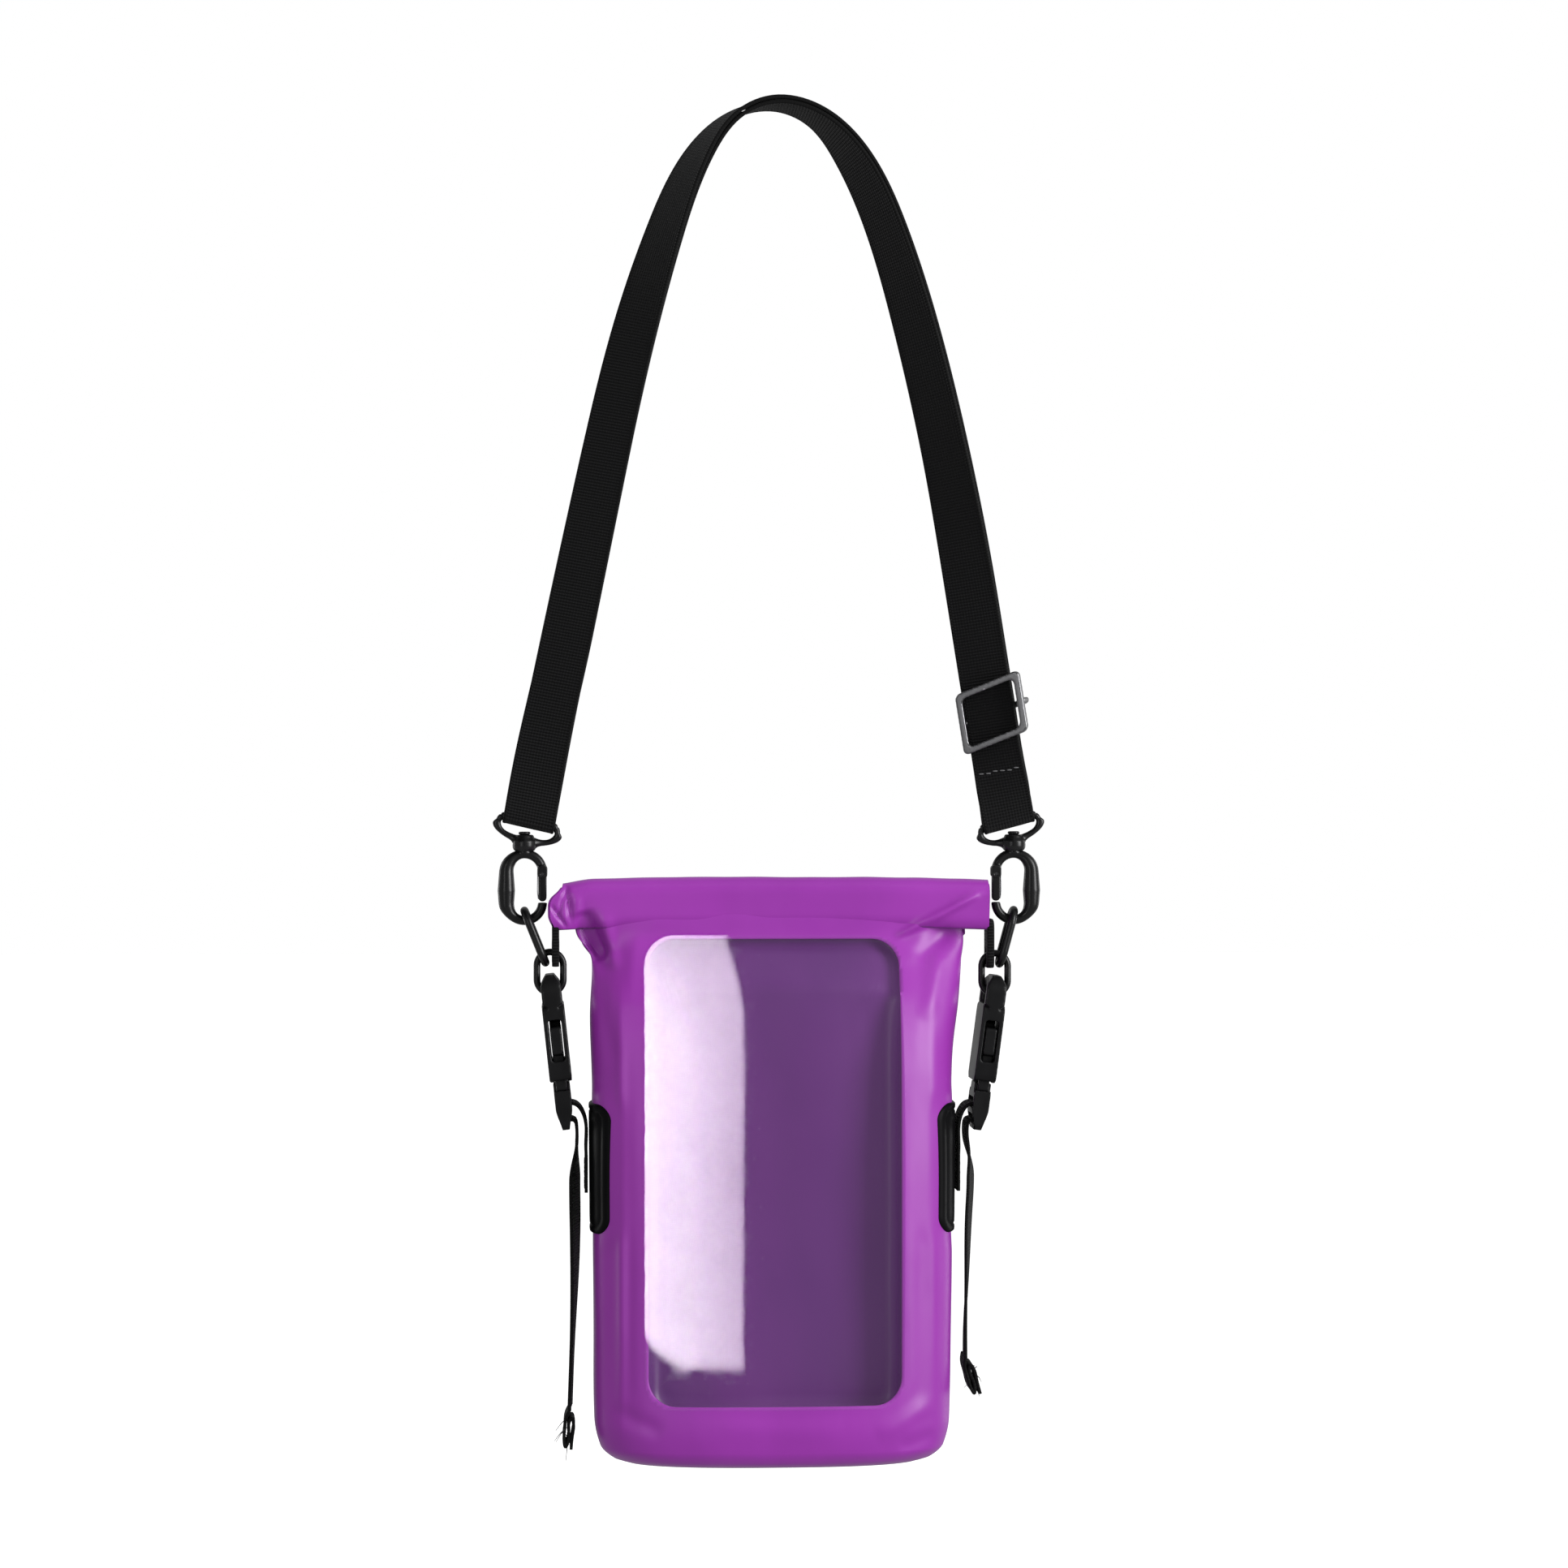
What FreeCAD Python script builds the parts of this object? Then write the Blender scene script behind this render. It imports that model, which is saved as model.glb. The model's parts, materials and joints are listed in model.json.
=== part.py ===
import FreeCAD, Part
import math
import os
import Sketcher
from FreeCAD import Placement, Rotation, Vector

# Small roll-top dry bag with a clear phone window, a doubled webbing carry
# strap, two swivel snap hooks and two side-release compression buckles.
# Millimetres. +Z up, +X to the wearer's right as seen from the front, the
# front faces -Y. The origin is where the strap hangs: the inner surface at
# the top of its arch.

os.makedirs("parts", exist_ok=True)
doc = FreeCAD.newDocument("DryBag")
sheet = doc.addObject("Spreadsheet::Sheet", "Dims")

DIMENSIONS = {
    # carry strap
    "strap_width": 19.0, "strap_ply": 1.5, "strap_gap": 0.25, "eye_clearance": 0.5,
    # eye: a D-shaped ring with a boss that takes the swivel
    "eye_bar_z": -258.0, "eye_bar_half": 11.2, "eye_side": 3.0, "eye_drop": 8.2,
    "eye_wire": 2.4,
    "boss_width": 6.4, "boss_height": 4.4, "boss_bore": 2.5, "boss_drop": 2.0,
    # swivel snap hook
    "stud_width": 2.4, "stud_head_width": 4.4, "stud_head_height": 1.1, "stud_clear": 0.3,
    "hook_wire": 3.4, "hook_bend": 6.5, "hook_span": 11.1, "hook_bottom_z": -294.3,
    "gate_width": 3.0, "gate_length": 11.4, "gate_thick": 2.8, "gate_corner": 1.4,
    "ear_width": 3.8, "ear_length": 4.4, "ear_thick": 4.6, "ear_corner": 1.2,
    "pin_width": 1.2, "pin_hole": 1.3, "pivot_drop": 0.8,
    # room for the gate between the ears, below and above the pivot
    "room_width": 6.0, "room_depth": 3.2, "room_low": 6.0, "room_high": 1.9,
    "leaf_thick": 0.3, "leaf_width": 1.8, "leaf_low": 9.0, "leaf_high": 0.6, "leaf_aside": 1.9,
    # the two links under each hook
    "upper_wire": 3.0, "upper_bend": 5.0, "upper_span": 10.2,
    "lower_wire": 2.5, "lower_bend": 4.75, "lower_span": 5.2,
    "link_clear": 0.35, "link_rest": 0.75, "link_aside": 1.7,
    "tab_thick": 2.6, "tab_width": 12.0, "tab_length": 13.0, "tab_corner": 3.0, "tab_hole": 5.3,
    "tab_foot": 4.6, "tab_aside": 1.95, "tab_rise": 4.05,
    # tri-glide slider
    "slider_width": 22.9, "slider_wire": 2.4, "slider_bend": 2.2, "slider_outer_x": 25.3,
    "slider_outer_z": 22.3, "slider_inner_x": 20.5, "slider_inner_z": 17.5,
    "slider_offset": 3.4,
    # side-release buckle; heights are below the bar that the lower link holds
    "loop_width": 24.0, "loop_length": 20.0, "loop_thick": 3.6, "loop_corner": 6.0,
    "slot_width": 16.0, "slot_length": 6.2, "slot_corner": 2.0, "bar_half": 2.2, "bar_clear": 1.2,
    "house_top": 8.4, "cavity_top": 10.0, "window_mid": 21.5, "base_top": 37.0, "prong_top": 14.0,
    "lock_upper": 44.4, "lock_lower": 50.4, "arm_y": 8.3, "arm_root": 38.7, "arm_foot": 1.3,
    "notch_rise": 1.2, "grip_y": 10.3, "grip_mid": 21.6,
    "socket_width": 24.0, "socket_length": 28.0, "socket_thick": 8.0, "socket_corner": 3.0,
    "cavity_width": 20.6, "cavity_length": 30.0, "cavity_thick": 4.8, "cavity_corner": 1.5,
    "window_thick": 4.8, "window_length": 15.0, "window_corner": 1.0, "through": 60.0,
    "base_width": 20.0, "base_length": 17.0, "base_thick": 6.0, "base_corner": 2.5,
    "lock_width": 16.4, "lock_length": 3.6, "lock_corner": 1.0,
    "prong_width": 5.6, "prong_length": 26.0, "prong_thick": 4.0, "prong_corner": 1.5,
    "arm_width": 2.6, "arm_length": 20.0, "arm_thick": 4.0, "arm_corner": 1.25,
    "pad_width": 3.4, "pad_length": 10.0, "pad_corner": 1.2,
    "notch_width": 3.6, "notch_length": 6.0, "notch_corner": 1.7,
    # webbing of the buckles; the riser is sewn to the patch up to its seam
    "tape_width": 15.0, "tape_thick": 1.2, "riser_x": 67.1, "riser_low": -392.0, "riser_seam": -378.0,
    "fold_thick": 4.0, "fold_length": 14.0, "fold_corner": 1.6,
    # bag
    "film": 1.0, "roll_left": -80.2, "roll_right": 78.4, "roll_height": 20.0,
    "roll_depth": 14.0, "roll_corner": 6.0, "roll_z": -288.0,
    "roll_length": 158.6, "roll_reach": 200.0, "strip_length": 150.0,
    "core_height": 17.6, "core_depth": 3.4, "core_corner": 1.2,
    "strip_height": 17.0, "strip_thick": 1.4, "strip_corner": 0.6,
    "window_width": 93.0, "window_height": 168.0, "window_bend": 11.0,
    "window_z": -383.5, "window_film": 0.6, "window_seam": 3.0,
    "pocket_width": 86.0, "pocket_height": 142.0, "pocket_bottom_z": -471.0,
    "pocket_front_y": -26.5, "pocket_back_y": -13.0,
    "patch_width": 38.0, "patch_height": 46.5, "patch_corner": 6.0, "patch_z": -383.0,
    "patch_film": 1.2,
}
for row, (alias, value) in enumerate(DIMENSIONS.items(), 1):
    sheet.set(f"A{row}", alias)
    sheet.set(f"B{row}", str(value))
    sheet.setAlias(f"B{row}", alias)
doc.recompute()

# Places that differ between the sides: the sign of X, the eye bar's centre,
# the tilt of the eye, the lean of the upper link and the lean of the buckle.
SIDES = {
    "left": {"sign": -1, "eye_x": -87.6, "eye_tilt": 13.0, "link_lean": 22.0, "buckle_lean": 6.2},
    "right": {"sign": 1, "eye_x": 85.8, "eye_tilt": 15.0, "link_lean": 15.0, "buckle_lean": 7.5},
}
X_AXIS, Y_AXIS, Z_AXIS = Vector(1, 0, 0), Vector(0, 1, 0), Vector(0, 0, 1)
# how far a cutting tool runs past the face that it cuts
OVERSHOOT = 1.0
parts = {}


def size(alias):
    """A driving dimension, read from the sheet."""
    return float(sheet.get(alias))


def keep(item, node):
    """Give a finished sub-part the name that it is known by."""
    item.Label = node
    parts[node] = item
    return item


def add(kind, name, place=None, **formulas):
    """A Part primitive whose sizes follow the sheet."""
    item = doc.addObject("Part::" + kind, name)
    for prop, formula in formulas.items():
        item.setExpression(prop, formula)
    if place:
        item.Placement = place
    return item


def fuse(name, pieces):
    item = doc.addObject("Part::MultiFuse", name)
    item.Shapes = pieces
    item.Refine = True
    return item


def cut(name, base, tool):
    item = doc.addObject("Part::Cut", name)
    item.Base = base
    item.Tool = tool
    return item


def at(x, y, z, axis=Z_AXIS, angle=0.0):
    return Placement(Vector(x, y, z), Rotation(axis, angle))


def aim(x, y, z, along):
    """Put a primitive's own Z axis along a direction."""
    return Placement(Vector(x, y, z), Rotation(Z_AXIS, along))


# ---------------------------------------------------------------- sketches

def origin_plane(body, role):
    return next(item for item in body.Origin.OriginFeatures if item.Role == role)


def new_sketch(body, role, shift, name):
    sketch = body.newObject("Sketcher::SketchObject", body.Name + "_" + name)
    sketch.AttachmentSupport = [(origin_plane(body, role), "")]
    sketch.MapMode = "FlatFace"
    sketch.AttachmentOffset = Placement(Vector(*shift), Rotation())
    return sketch


def measure(sketch, kind, alias, formula, *where):
    """A named dimension of a sketch that follows the sheet."""
    index = sketch.addConstraint(Sketcher.Constraint(kind, *where))
    sketch.renameConstraint(index, alias)
    sketch.setExpression("Constraints." + alias, formula)


def rounded_sketch(body, role, width, height, corner, shift=(0, 0, 0), name="outline"):
    """A rounded rectangle about its own centre; the sizes are sheet aliases."""
    sketch = new_sketch(body, role, shift, name)
    bend = size(corner)
    half_x = size(width) / 2 - bend
    half_y = size(height) / 2 - bend
    quarter = math.pi / 2
    signs = ((1, 1), (-1, 1), (-1, -1), (1, -1))
    for index, (sx, sy) in enumerate(signs):
        circle = Part.Circle(Vector(sx * half_x, sy * half_y, 0), Z_AXIS, bend)
        sketch.addGeometry(Part.ArcOfCircle(circle, index * quarter, (index + 1) * quarter), False)
    reach_x, reach_y = half_x + bend, half_y + bend
    lines = (
        ((half_x, reach_y), (-half_x, reach_y)), ((-reach_x, half_y), (-reach_x, -half_y)),
        ((-half_x, -reach_y), (half_x, -reach_y)), ((reach_x, -half_y), (reach_x, half_y)),
    )
    for start, end in lines:
        sketch.addGeometry(Part.LineSegment(Vector(*start, 0), Vector(*end, 0)), False)
    for index in range(4):
        sketch.addConstraint(Sketcher.Constraint("Tangent", index, 2, index + 4, 1))
        sketch.addConstraint(Sketcher.Constraint("Tangent", index + 4, 2, (index + 1) % 4, 1))
    for index in (1, 2, 3):
        sketch.addConstraint(Sketcher.Constraint("Equal", 0, index))
    sketch.addConstraint(Sketcher.Constraint("Horizontal", 4))
    sketch.addConstraint(Sketcher.Constraint("Vertical", 5))
    sketch.addConstraint(Sketcher.Constraint("Symmetric", 0, 3, 2, 3, -1, 1))
    measure(sketch, "Radius", "corner", "Dims." + corner, 0, bend)
    measure(sketch, "DistanceX", "across", f"Dims.{width} - 2 * Dims.{corner}", 4, 2, 4, 1, 2 * half_x)
    measure(sketch, "DistanceY", "along", f"Dims.{height} - 2 * Dims.{corner}", 5, 2, 5, 1, 2 * half_y)
    return sketch


def pad(body, sketch, thick):
    feature = body.newObject("PartDesign::Pad", sketch.Name + "_pad")
    feature.Profile = sketch
    feature.SideType = "Symmetric"
    feature.setExpression("Length", "Dims." + thick)
    doc.recompute()
    return feature


def pocket(body, sketch, thick):
    """Cut to both sides of the sketch's plane; it has to take material away."""
    before = body.Shape.Volume
    feature = body.newObject("PartDesign::Pocket", sketch.Name + "_pocket")
    feature.Profile = sketch
    feature.SideType = "Symmetric"
    feature.setExpression("Length", "Dims." + thick)
    doc.recompute()
    if body.Shape.Volume > before - 0.01:
        raise ValueError("nothing cut by " + feature.Name)
    return feature


def ring_sketch(body, role, bend, span, whole=True):
    """The centre line of a long oval ring; open on its +X side when not whole."""
    sketch = new_sketch(body, role, (0, 0, 0), "route")
    radius = size(bend)
    half = size(span) / 2
    top = Part.Circle(Vector(0, half, 0), Z_AXIS, radius)
    low = Part.Circle(Vector(0, -half, 0), Z_AXIS, radius)
    sketch.addGeometry(Part.ArcOfCircle(top, 0, math.pi), False)
    sketch.addGeometry(Part.LineSegment(Vector(-radius, half, 0), Vector(-radius, -half, 0)), False)
    sketch.addGeometry(Part.ArcOfCircle(low, math.pi, 2 * math.pi), False)
    pairs = [(0, 2, 1, 1), (1, 2, 2, 1)]
    if whole:
        sketch.addGeometry(Part.LineSegment(Vector(radius, -half, 0), Vector(radius, half, 0)), False)
        pairs += [(2, 2, 3, 1), (3, 2, 0, 1)]
    else:
        for arc, point in ((0, 1), (2, 2)):
            sketch.addConstraint(Sketcher.Constraint("Horizontal", arc, 3, arc, point))
    for pair in pairs:
        sketch.addConstraint(Sketcher.Constraint("Tangent", *pair))
    sketch.addConstraint(Sketcher.Constraint("Vertical", 1))
    sketch.addConstraint(Sketcher.Constraint("Symmetric", 0, 3, 2, 3, -1, 1))
    measure(sketch, "Radius", "bend", "Dims." + bend, 0, radius)
    measure(sketch, "DistanceY", "span", "Dims." + span, 2, 3, 0, 3, 2 * half)
    return sketch


def ring_body(name, role, bend, span, wire, whole=True):
    """A bent wire ring, standing in a plane of its own, about its own centre."""
    body = doc.addObject("PartDesign::Body", name)
    route = ring_sketch(body, role, bend, span, whole)
    section = new_sketch(body, "XY_Plane", (0, 0, 0), "section")
    radius = size(bend)
    across = role == "YZ_Plane"
    centre = Vector(0, -radius, 0) if across else Vector(-radius, 0, 0)
    section.addGeometry(Part.Circle(centre, Z_AXIS, size(wire) / 2), False)
    section.addConstraint(Sketcher.Constraint("PointOnObject", 0, 3, -2 if across else -1))
    kind = "DistanceY" if across else "DistanceX"
    measure(section, kind, "reach", "Dims." + bend, 0, 3, -1, 1, radius)
    measure(section, "Diameter", "wire", "Dims." + wire, 0, size(wire))
    doc.recompute()
    pipe = body.newObject("PartDesign::AdditivePipe", name + "_pipe")
    pipe.Profile = section
    pipe.Spine = (route, [""])
    doc.recompute()
    return body


def shape_part(node, shape, place=None):
    """A sub-part whose shape comes straight from Part's functions."""
    item = doc.addObject("Part::Feature", node)
    item.Shape = shape
    if place:
        item.Placement = place
    return keep(item, node)


# ---------------------------------------------------------------- the strap

# The line that the doubled strap follows from the left eye over the top to
# the right eye: X, Z and how far its width has turned out of the front plane.
STRAP_ROUTE = (
    (-87.6, -258.0, 0), (-86.2, -250.0, 1), (-83.6, -236.0, 9), (-75.7, -197.0, 18),
    (-63.1, -137.0, 24), (-49.4, -78.5, 35), (-39.0, -45.0, 48), (-25.6, -15.5, 65),
    (-13.6, -2.9, 80), (0.8, 1.6, 90), (15.6, -2.9, 100), (27.8, -15.5, 116),
    (42.0, -45.0, 128), (52.2, -78.5, 136), (65.6, -137.0, 146), (73.2, -180.0, 157),
    (76.41, -200.0, 157), (79.31, -218.0, 157), (82.2, -236.0, 157), (83.4, -243.0, 163),
    (84.6, -250.0, 173), (85.8, -258.0, 180),
)
# the straight stretch of the right leg that the slider runs on
SLIDER_HIGH, SLIDER_LOW = STRAP_ROUTE[15], STRAP_ROUTE[18]
STRAP_STATIONS = 72
# along the strap from an eye's bar: where the turning in its plane ends, and
# where the two layers start to close and have closed
SKEW_LENGTH = 20.0
PART_START = 2.0
PART_LENGTH = 22.0


def strap_curves():
    """One smooth curve for the strap's line and one for its turn, on one parameter."""
    line, turn = Part.BSplineCurve(), Part.BSplineCurve()
    spots = [Vector(x, 0, z) for x, z, angle in STRAP_ROUTE]
    reach = [0.0]
    for before, after in zip(spots, spots[1:]):
        reach.append(reach[-1] + (after - before).Length)
    line.interpolate(Points=spots, Parameters=reach)
    turns = [Vector(angle, way, 0) for (x, z, angle), way in zip(STRAP_ROUTE, reach)]
    turn.interpolate(Points=turns, Parameters=reach)
    return line, turn, reach


strap_line, strap_twist, strap_reach = strap_curves()


def eye_skew(reach, tangent):
    """How far the webbing turns in its own plane to lie square on an eye's bar."""
    at_left = reach < strap_reach[-1] / 2
    side = SIDES["left" if at_left else "right"]
    distance = reach if at_left else strap_reach[-1] - reach
    share = max(1 - distance / SKEW_LENGTH, 0.0) ** 2
    up = tangent if at_left else tangent * -1
    lean = math.degrees(math.atan2(up.x, up.z))
    return share * (-side["sign"] * side["eye_tilt"] - lean)


def strap_frame(reach):
    """Centre, direction, width axis and outward normal of the strap at one place."""
    centre = strap_line.value(reach)
    tangent = strap_line.tangent(reach)[0]
    tangent = Rotation(Y_AXIS, eye_skew(reach, tangent)).multVec(tangent)
    level = Y_AXIS.cross(tangent)
    angle = math.radians(strap_twist.value(reach).x)
    across = level * math.cos(angle) - Y_AXIS * math.sin(angle)
    return centre, tangent, across, tangent.cross(across)


def strap_spread(reach):
    """Half the distance between the two layers, wider where they part for an eye."""
    near = size("strap_ply") / 2 + size("strap_gap") / 2
    wide = size("eye_wire") / 2 + size("eye_clearance") + size("strap_ply") / 2
    distance = min(reach, strap_reach[-1] - reach)
    rise = min(max((distance - PART_START) / (PART_LENGTH - PART_START), 0.0), 1.0)
    return near + (wide - near) * (1 - rise) ** 2


def strap_layer(side):
    """One layer of the strap, on the outer (1) or the inner (-1) face."""
    half_width = size("strap_width") / 2
    half_ply = size("strap_ply") / 2
    wires = []
    for station in range(STRAP_STATIONS + 1):
        reach = strap_reach[-1] * station / STRAP_STATIONS
        centre, tangent, across, normal = strap_frame(reach)
        centre = centre + normal * (side * strap_spread(reach))
        corners = []
        for sx, sn in ((1, 1), (-1, 1), (-1, -1), (1, -1)):
            corners.append(centre + across * (sx * half_width) + normal * (sn * half_ply))
        wires.append(Part.makePolygon(corners + corners[:1]))
    return Part.makeLoft(wires, True, False)


def strap_turn(name):
    """The half turn of webbing under an eye's bar."""
    reach = 0.0 if name == "left" else strap_reach[-1]
    centre, tangent, across, _ = strap_frame(reach)
    width = size("strap_width")
    inner = size("eye_wire") / 2 + size("eye_clearance")
    outer = inner + size("strap_ply")
    block_size = 1.5 * width
    base = centre - across * (width / 2)
    down = tangent * -1 if name == "left" else tangent
    tube = Part.makeCylinder(outer, width, base, across)
    hole = Part.makeCylinder(inner, width, base, across)
    block = Part.makeBox(block_size, block_size, block_size, Vector(-block_size / 2, -block_size / 2, 0))
    block.Placement = Placement(centre, Rotation(Z_AXIS, down))
    return tube.cut(hole).common(block)


outer_layer = strap_layer(1)
inner_layer = strap_layer(-1)
shape_part("strap_outer_layer", outer_layer)
shape_part("strap_inner_layer", inner_layer)
for side_name in SIDES:
    shape_part("strap_turn_" + side_name, strap_turn(side_name))

# ---------------------------------------------------------------- the slider

slider_up = Vector(SLIDER_HIGH[0] - SLIDER_LOW[0], 0, SLIDER_HIGH[1] - SLIDER_LOW[1]).normalize()
slider_turn = 180 - SLIDER_HIGH[2]
# where the slider rests, above the low end of its stretch
SLIDER_REST = 17.0
slider_centre = Vector(SLIDER_LOW[0], 0, SLIDER_LOW[1]) + slider_up * SLIDER_REST


def on_strap(rise=0.0, forward=0.0):
    """A place on the straight lower stretch of the right leg, turned with it."""
    lean = math.degrees(math.atan2(slider_up.x, slider_up.z))
    turn = Rotation(Y_AXIS, lean).multiply(Rotation(Z_AXIS, -slider_turn))
    spot = slider_centre + slider_up * rise + turn.multVec(Vector(0, -forward, 0))
    return Placement(spot, turn)


def make_slider():
    """The frame lies in front of the webbing, its middle bar behind it."""
    body = doc.addObject("PartDesign::Body", "SliderFrame")
    sketch = rounded_sketch(body, "XZ_Plane", "slider_outer_x", "slider_outer_z", "slider_bend")
    pad(body, sketch, "slider_wire")
    hole = rounded_sketch(body, "XZ_Plane", "slider_inner_x", "slider_inner_z", "slot_corner", name="hole")
    pocket(body, hole, "slider_wire")
    body.Placement = on_strap(forward=size("slider_offset"))
    keep(body, "slider_frame")
    reach = size("slider_width") / 2
    wire = "Dims.slider_wire / 2"
    pieces = []
    for end in (-1, 1):
        front = size("slider_wire") / 2 - size("slider_offset")
        post = add("Cylinder", "SliderPost", aim(end * reach, front, 0, Y_AXIS),
                   Radius=wire, Height="2 * Dims.slider_offset - Dims.slider_wire / 2")
        knuckle = add("Sphere", "SliderKnuckle", at(end * reach, size("slider_offset"), 0), Radius=wire)
        pieces += [post, knuckle]
    pieces.append(add("Cylinder", "SliderCross", aim(-reach, size("slider_offset"), 0, X_AXIS),
                      Radius=wire, Height="Dims.slider_width"))
    bar = fuse("SliderBar", pieces)
    bar.Placement = on_strap()
    keep(bar, "slider_bar")


make_slider()

# the row of stitches: its height above the bar, and each stitch across the
# strap, out of it and along it
STITCH_RISE = 18.0
STITCH_COUNT = 6
STITCH_STEP = 2.65
STITCH_SIZE = Vector(2.0, 0.4, 0.5)
STITCH_GAP = 0.25


def make_stitches():
    """One row across the strap's outer layer, just above the right eye."""
    reach = strap_reach[-1] - STITCH_RISE
    centre, tangent, across, normal = strap_frame(reach)
    lift = strap_spread(reach) + size("strap_ply") / 2 + STITCH_GAP
    turn = Rotation(across, normal, tangent, "ZXY")
    stitches = []
    for count in range(STITCH_COUNT):
        aside = (count - (STITCH_COUNT - 1) / 2) * STITCH_STEP - STITCH_SIZE.x / 2
        stitch = Part.makeBox(STITCH_SIZE.x, STITCH_SIZE.y, STITCH_SIZE.z,
                              Vector(aside, lift, -STITCH_SIZE.z / 2))
        stitch.Placement = Placement(centre, turn).multiply(stitch.Placement)
        stitches.append(stitch)
    shape_part("strap_stitching", Part.makeCompound(stitches))


make_stitches()

# ---------------------------------------------------------------- chain at each side


def eye_frame(side):
    """The eye's own place: its bar along X, tilted with the outer end up."""
    tilt = -side["sign"] * side["eye_tilt"]
    return Placement(Vector(side["eye_x"], 0, size("eye_bar_z")), Rotation(Y_AXIS, tilt))


def swivel_x(side):
    return eye_frame(side).multVec(Vector(0, 0, -size("eye_drop"))).x


def make_eye(name, side):
    """D-shaped ring: bar, short sides, bow and rounded corners, with the swivel's boss."""
    half = size("eye_bar_half")
    drop = size("eye_drop")
    fall = size("eye_side")
    sag = drop - fall
    bow = (half ** 2 + sag ** 2) / (2 * sag)
    sweep = 2 * math.degrees(math.asin(half / bow))
    wire = "Dims.eye_wire / 2"
    frame = eye_frame(side)
    bar = add("Cylinder", "EyeBar", frame.multiply(aim(-half, 0, 0, X_AXIS)),
              Radius=wire, Height="2 * Dims.eye_bar_half")
    start = Rotation(X_AXIS, 90).multiply(Rotation(Z_AXIS, -90 - sweep / 2))
    arc = add("Torus", "EyeBow", frame.multiply(Placement(Vector(0, 0, bow - drop), start)), Radius2=wire)
    sag_rule = "(Dims.eye_drop - Dims.eye_side)"
    arc.setExpression("Radius1", f"(Dims.eye_bar_half ^ 2 + {sag_rule} ^ 2) / (2 * {sag_rule})")
    arc.Angle3 = sweep
    pieces = [bar, arc]
    for end in (-1, 1):
        pieces.append(add("Cylinder", "EyeSide", frame.multiply(at(end * half, 0, -fall)),
                          Radius=wire, Height="Dims.eye_side"))
        for level in (0, -fall):
            pieces.append(add("Sphere", "EyeCorner", frame.multiply(at(end * half, 0, level)), Radius=wire))
    spot = frame.multVec(Vector(0, 0, -drop))
    boss_low = spot.z - size("boss_drop")
    pieces.append(add("Cylinder", "EyeBoss", at(spot.x, 0, boss_low),
                      Radius="Dims.boss_width / 2", Height="Dims.boss_height"))
    bore = add("Cylinder", "EyeBore", at(spot.x, 0, boss_low - OVERSHOOT),
               Radius="Dims.boss_bore / 2", Height=f"Dims.boss_height + {2 * OVERSHOOT}")
    keep(cut("Eye", fuse("EyeSolid", pieces), bore), "eye_" + name)
    return boss_low


def make_hook(name, side, boss_low):
    """Open ring with the gate's ears on the inner side, hung on a headed stud."""
    centre_z = size("hook_bottom_z") + size("hook_bend") + size("hook_span") / 2
    x = swivel_x(side)
    inward = -side["sign"]
    face = Rotation(Z_AXIS, 0 if inward > 0 else 180)
    ring = ring_body("Hook_" + name, "XZ_Plane", "hook_bend", "hook_span", "hook_wire", whole=False)
    ring.Placement = Placement(Vector(x, 0, centre_z), face)
    half = size("hook_span") / 2
    ears = doc.addObject("PartDesign::Body", "Ears_" + name)
    outline = rounded_sketch(ears, "XZ_Plane", "ear_width", "ear_length", "ear_corner")
    pad(ears, outline, "ear_thick")
    ears.Placement = Placement(Vector(x + inward * size("hook_bend"), 0, centre_z + half), face)
    top_z = centre_z + half + size("hook_bend")
    boss_high = boss_low + size("boss_height")
    stud = add("Cylinder", "Stud_" + name, at(x, 0, top_z), Radius="Dims.stud_width / 2")
    clear = size("stud_clear")
    stud.Height = boss_high + clear - top_z
    head = add("Cylinder", "StudHead_" + name, at(x, 0, boss_high + clear),
               Radius="Dims.stud_head_width / 2", Height="Dims.stud_head_height")
    collar = add("Cylinder", "StudCollar_" + name, at(x, 0, top_z),
                 Radius="Dims.stud_head_width / 2")
    collar.Height = boss_low - clear - top_z
    solid = fuse("HookSolid_" + name, [ring, ears, stud, head, collar])
    pivot = Vector(x + inward * size("hook_bend"), 0, centre_z + half - size("pivot_drop"))
    # room for the gate between the ears, and the pin's hole through them
    corner = pivot - Vector(size("room_width") / 2, size("room_depth") / 2, size("room_low"))
    room = add("Box", "GateRoom_" + name, Placement(corner, Rotation()), Length="Dims.room_width",
               Width="Dims.room_depth", Height="Dims.room_low + Dims.room_high")
    hole_front = -size("ear_thick") / 2 - OVERSHOOT
    hole = add("Cylinder", "PinHole_" + name, aim(pivot.x, hole_front, pivot.z, Y_AXIS),
               Radius="Dims.pin_width / 2", Height=f"Dims.ear_thick + {2 * OVERSHOOT}")
    hook = cut("HookCut_" + name, solid, fuse("HookTools_" + name, [room, hole]))
    keep(hook, "snap_hook_" + name)
    pin = add("Cylinder", "Pin_" + name, aim(pivot.x, -size("ear_thick") / 2, pivot.z, Y_AXIS),
              Radius="Dims.pin_width / 2", Height="Dims.ear_thick")
    keep(pin, "gate_pin_" + name)
    make_gate(name, pivot, face, inward)


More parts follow.
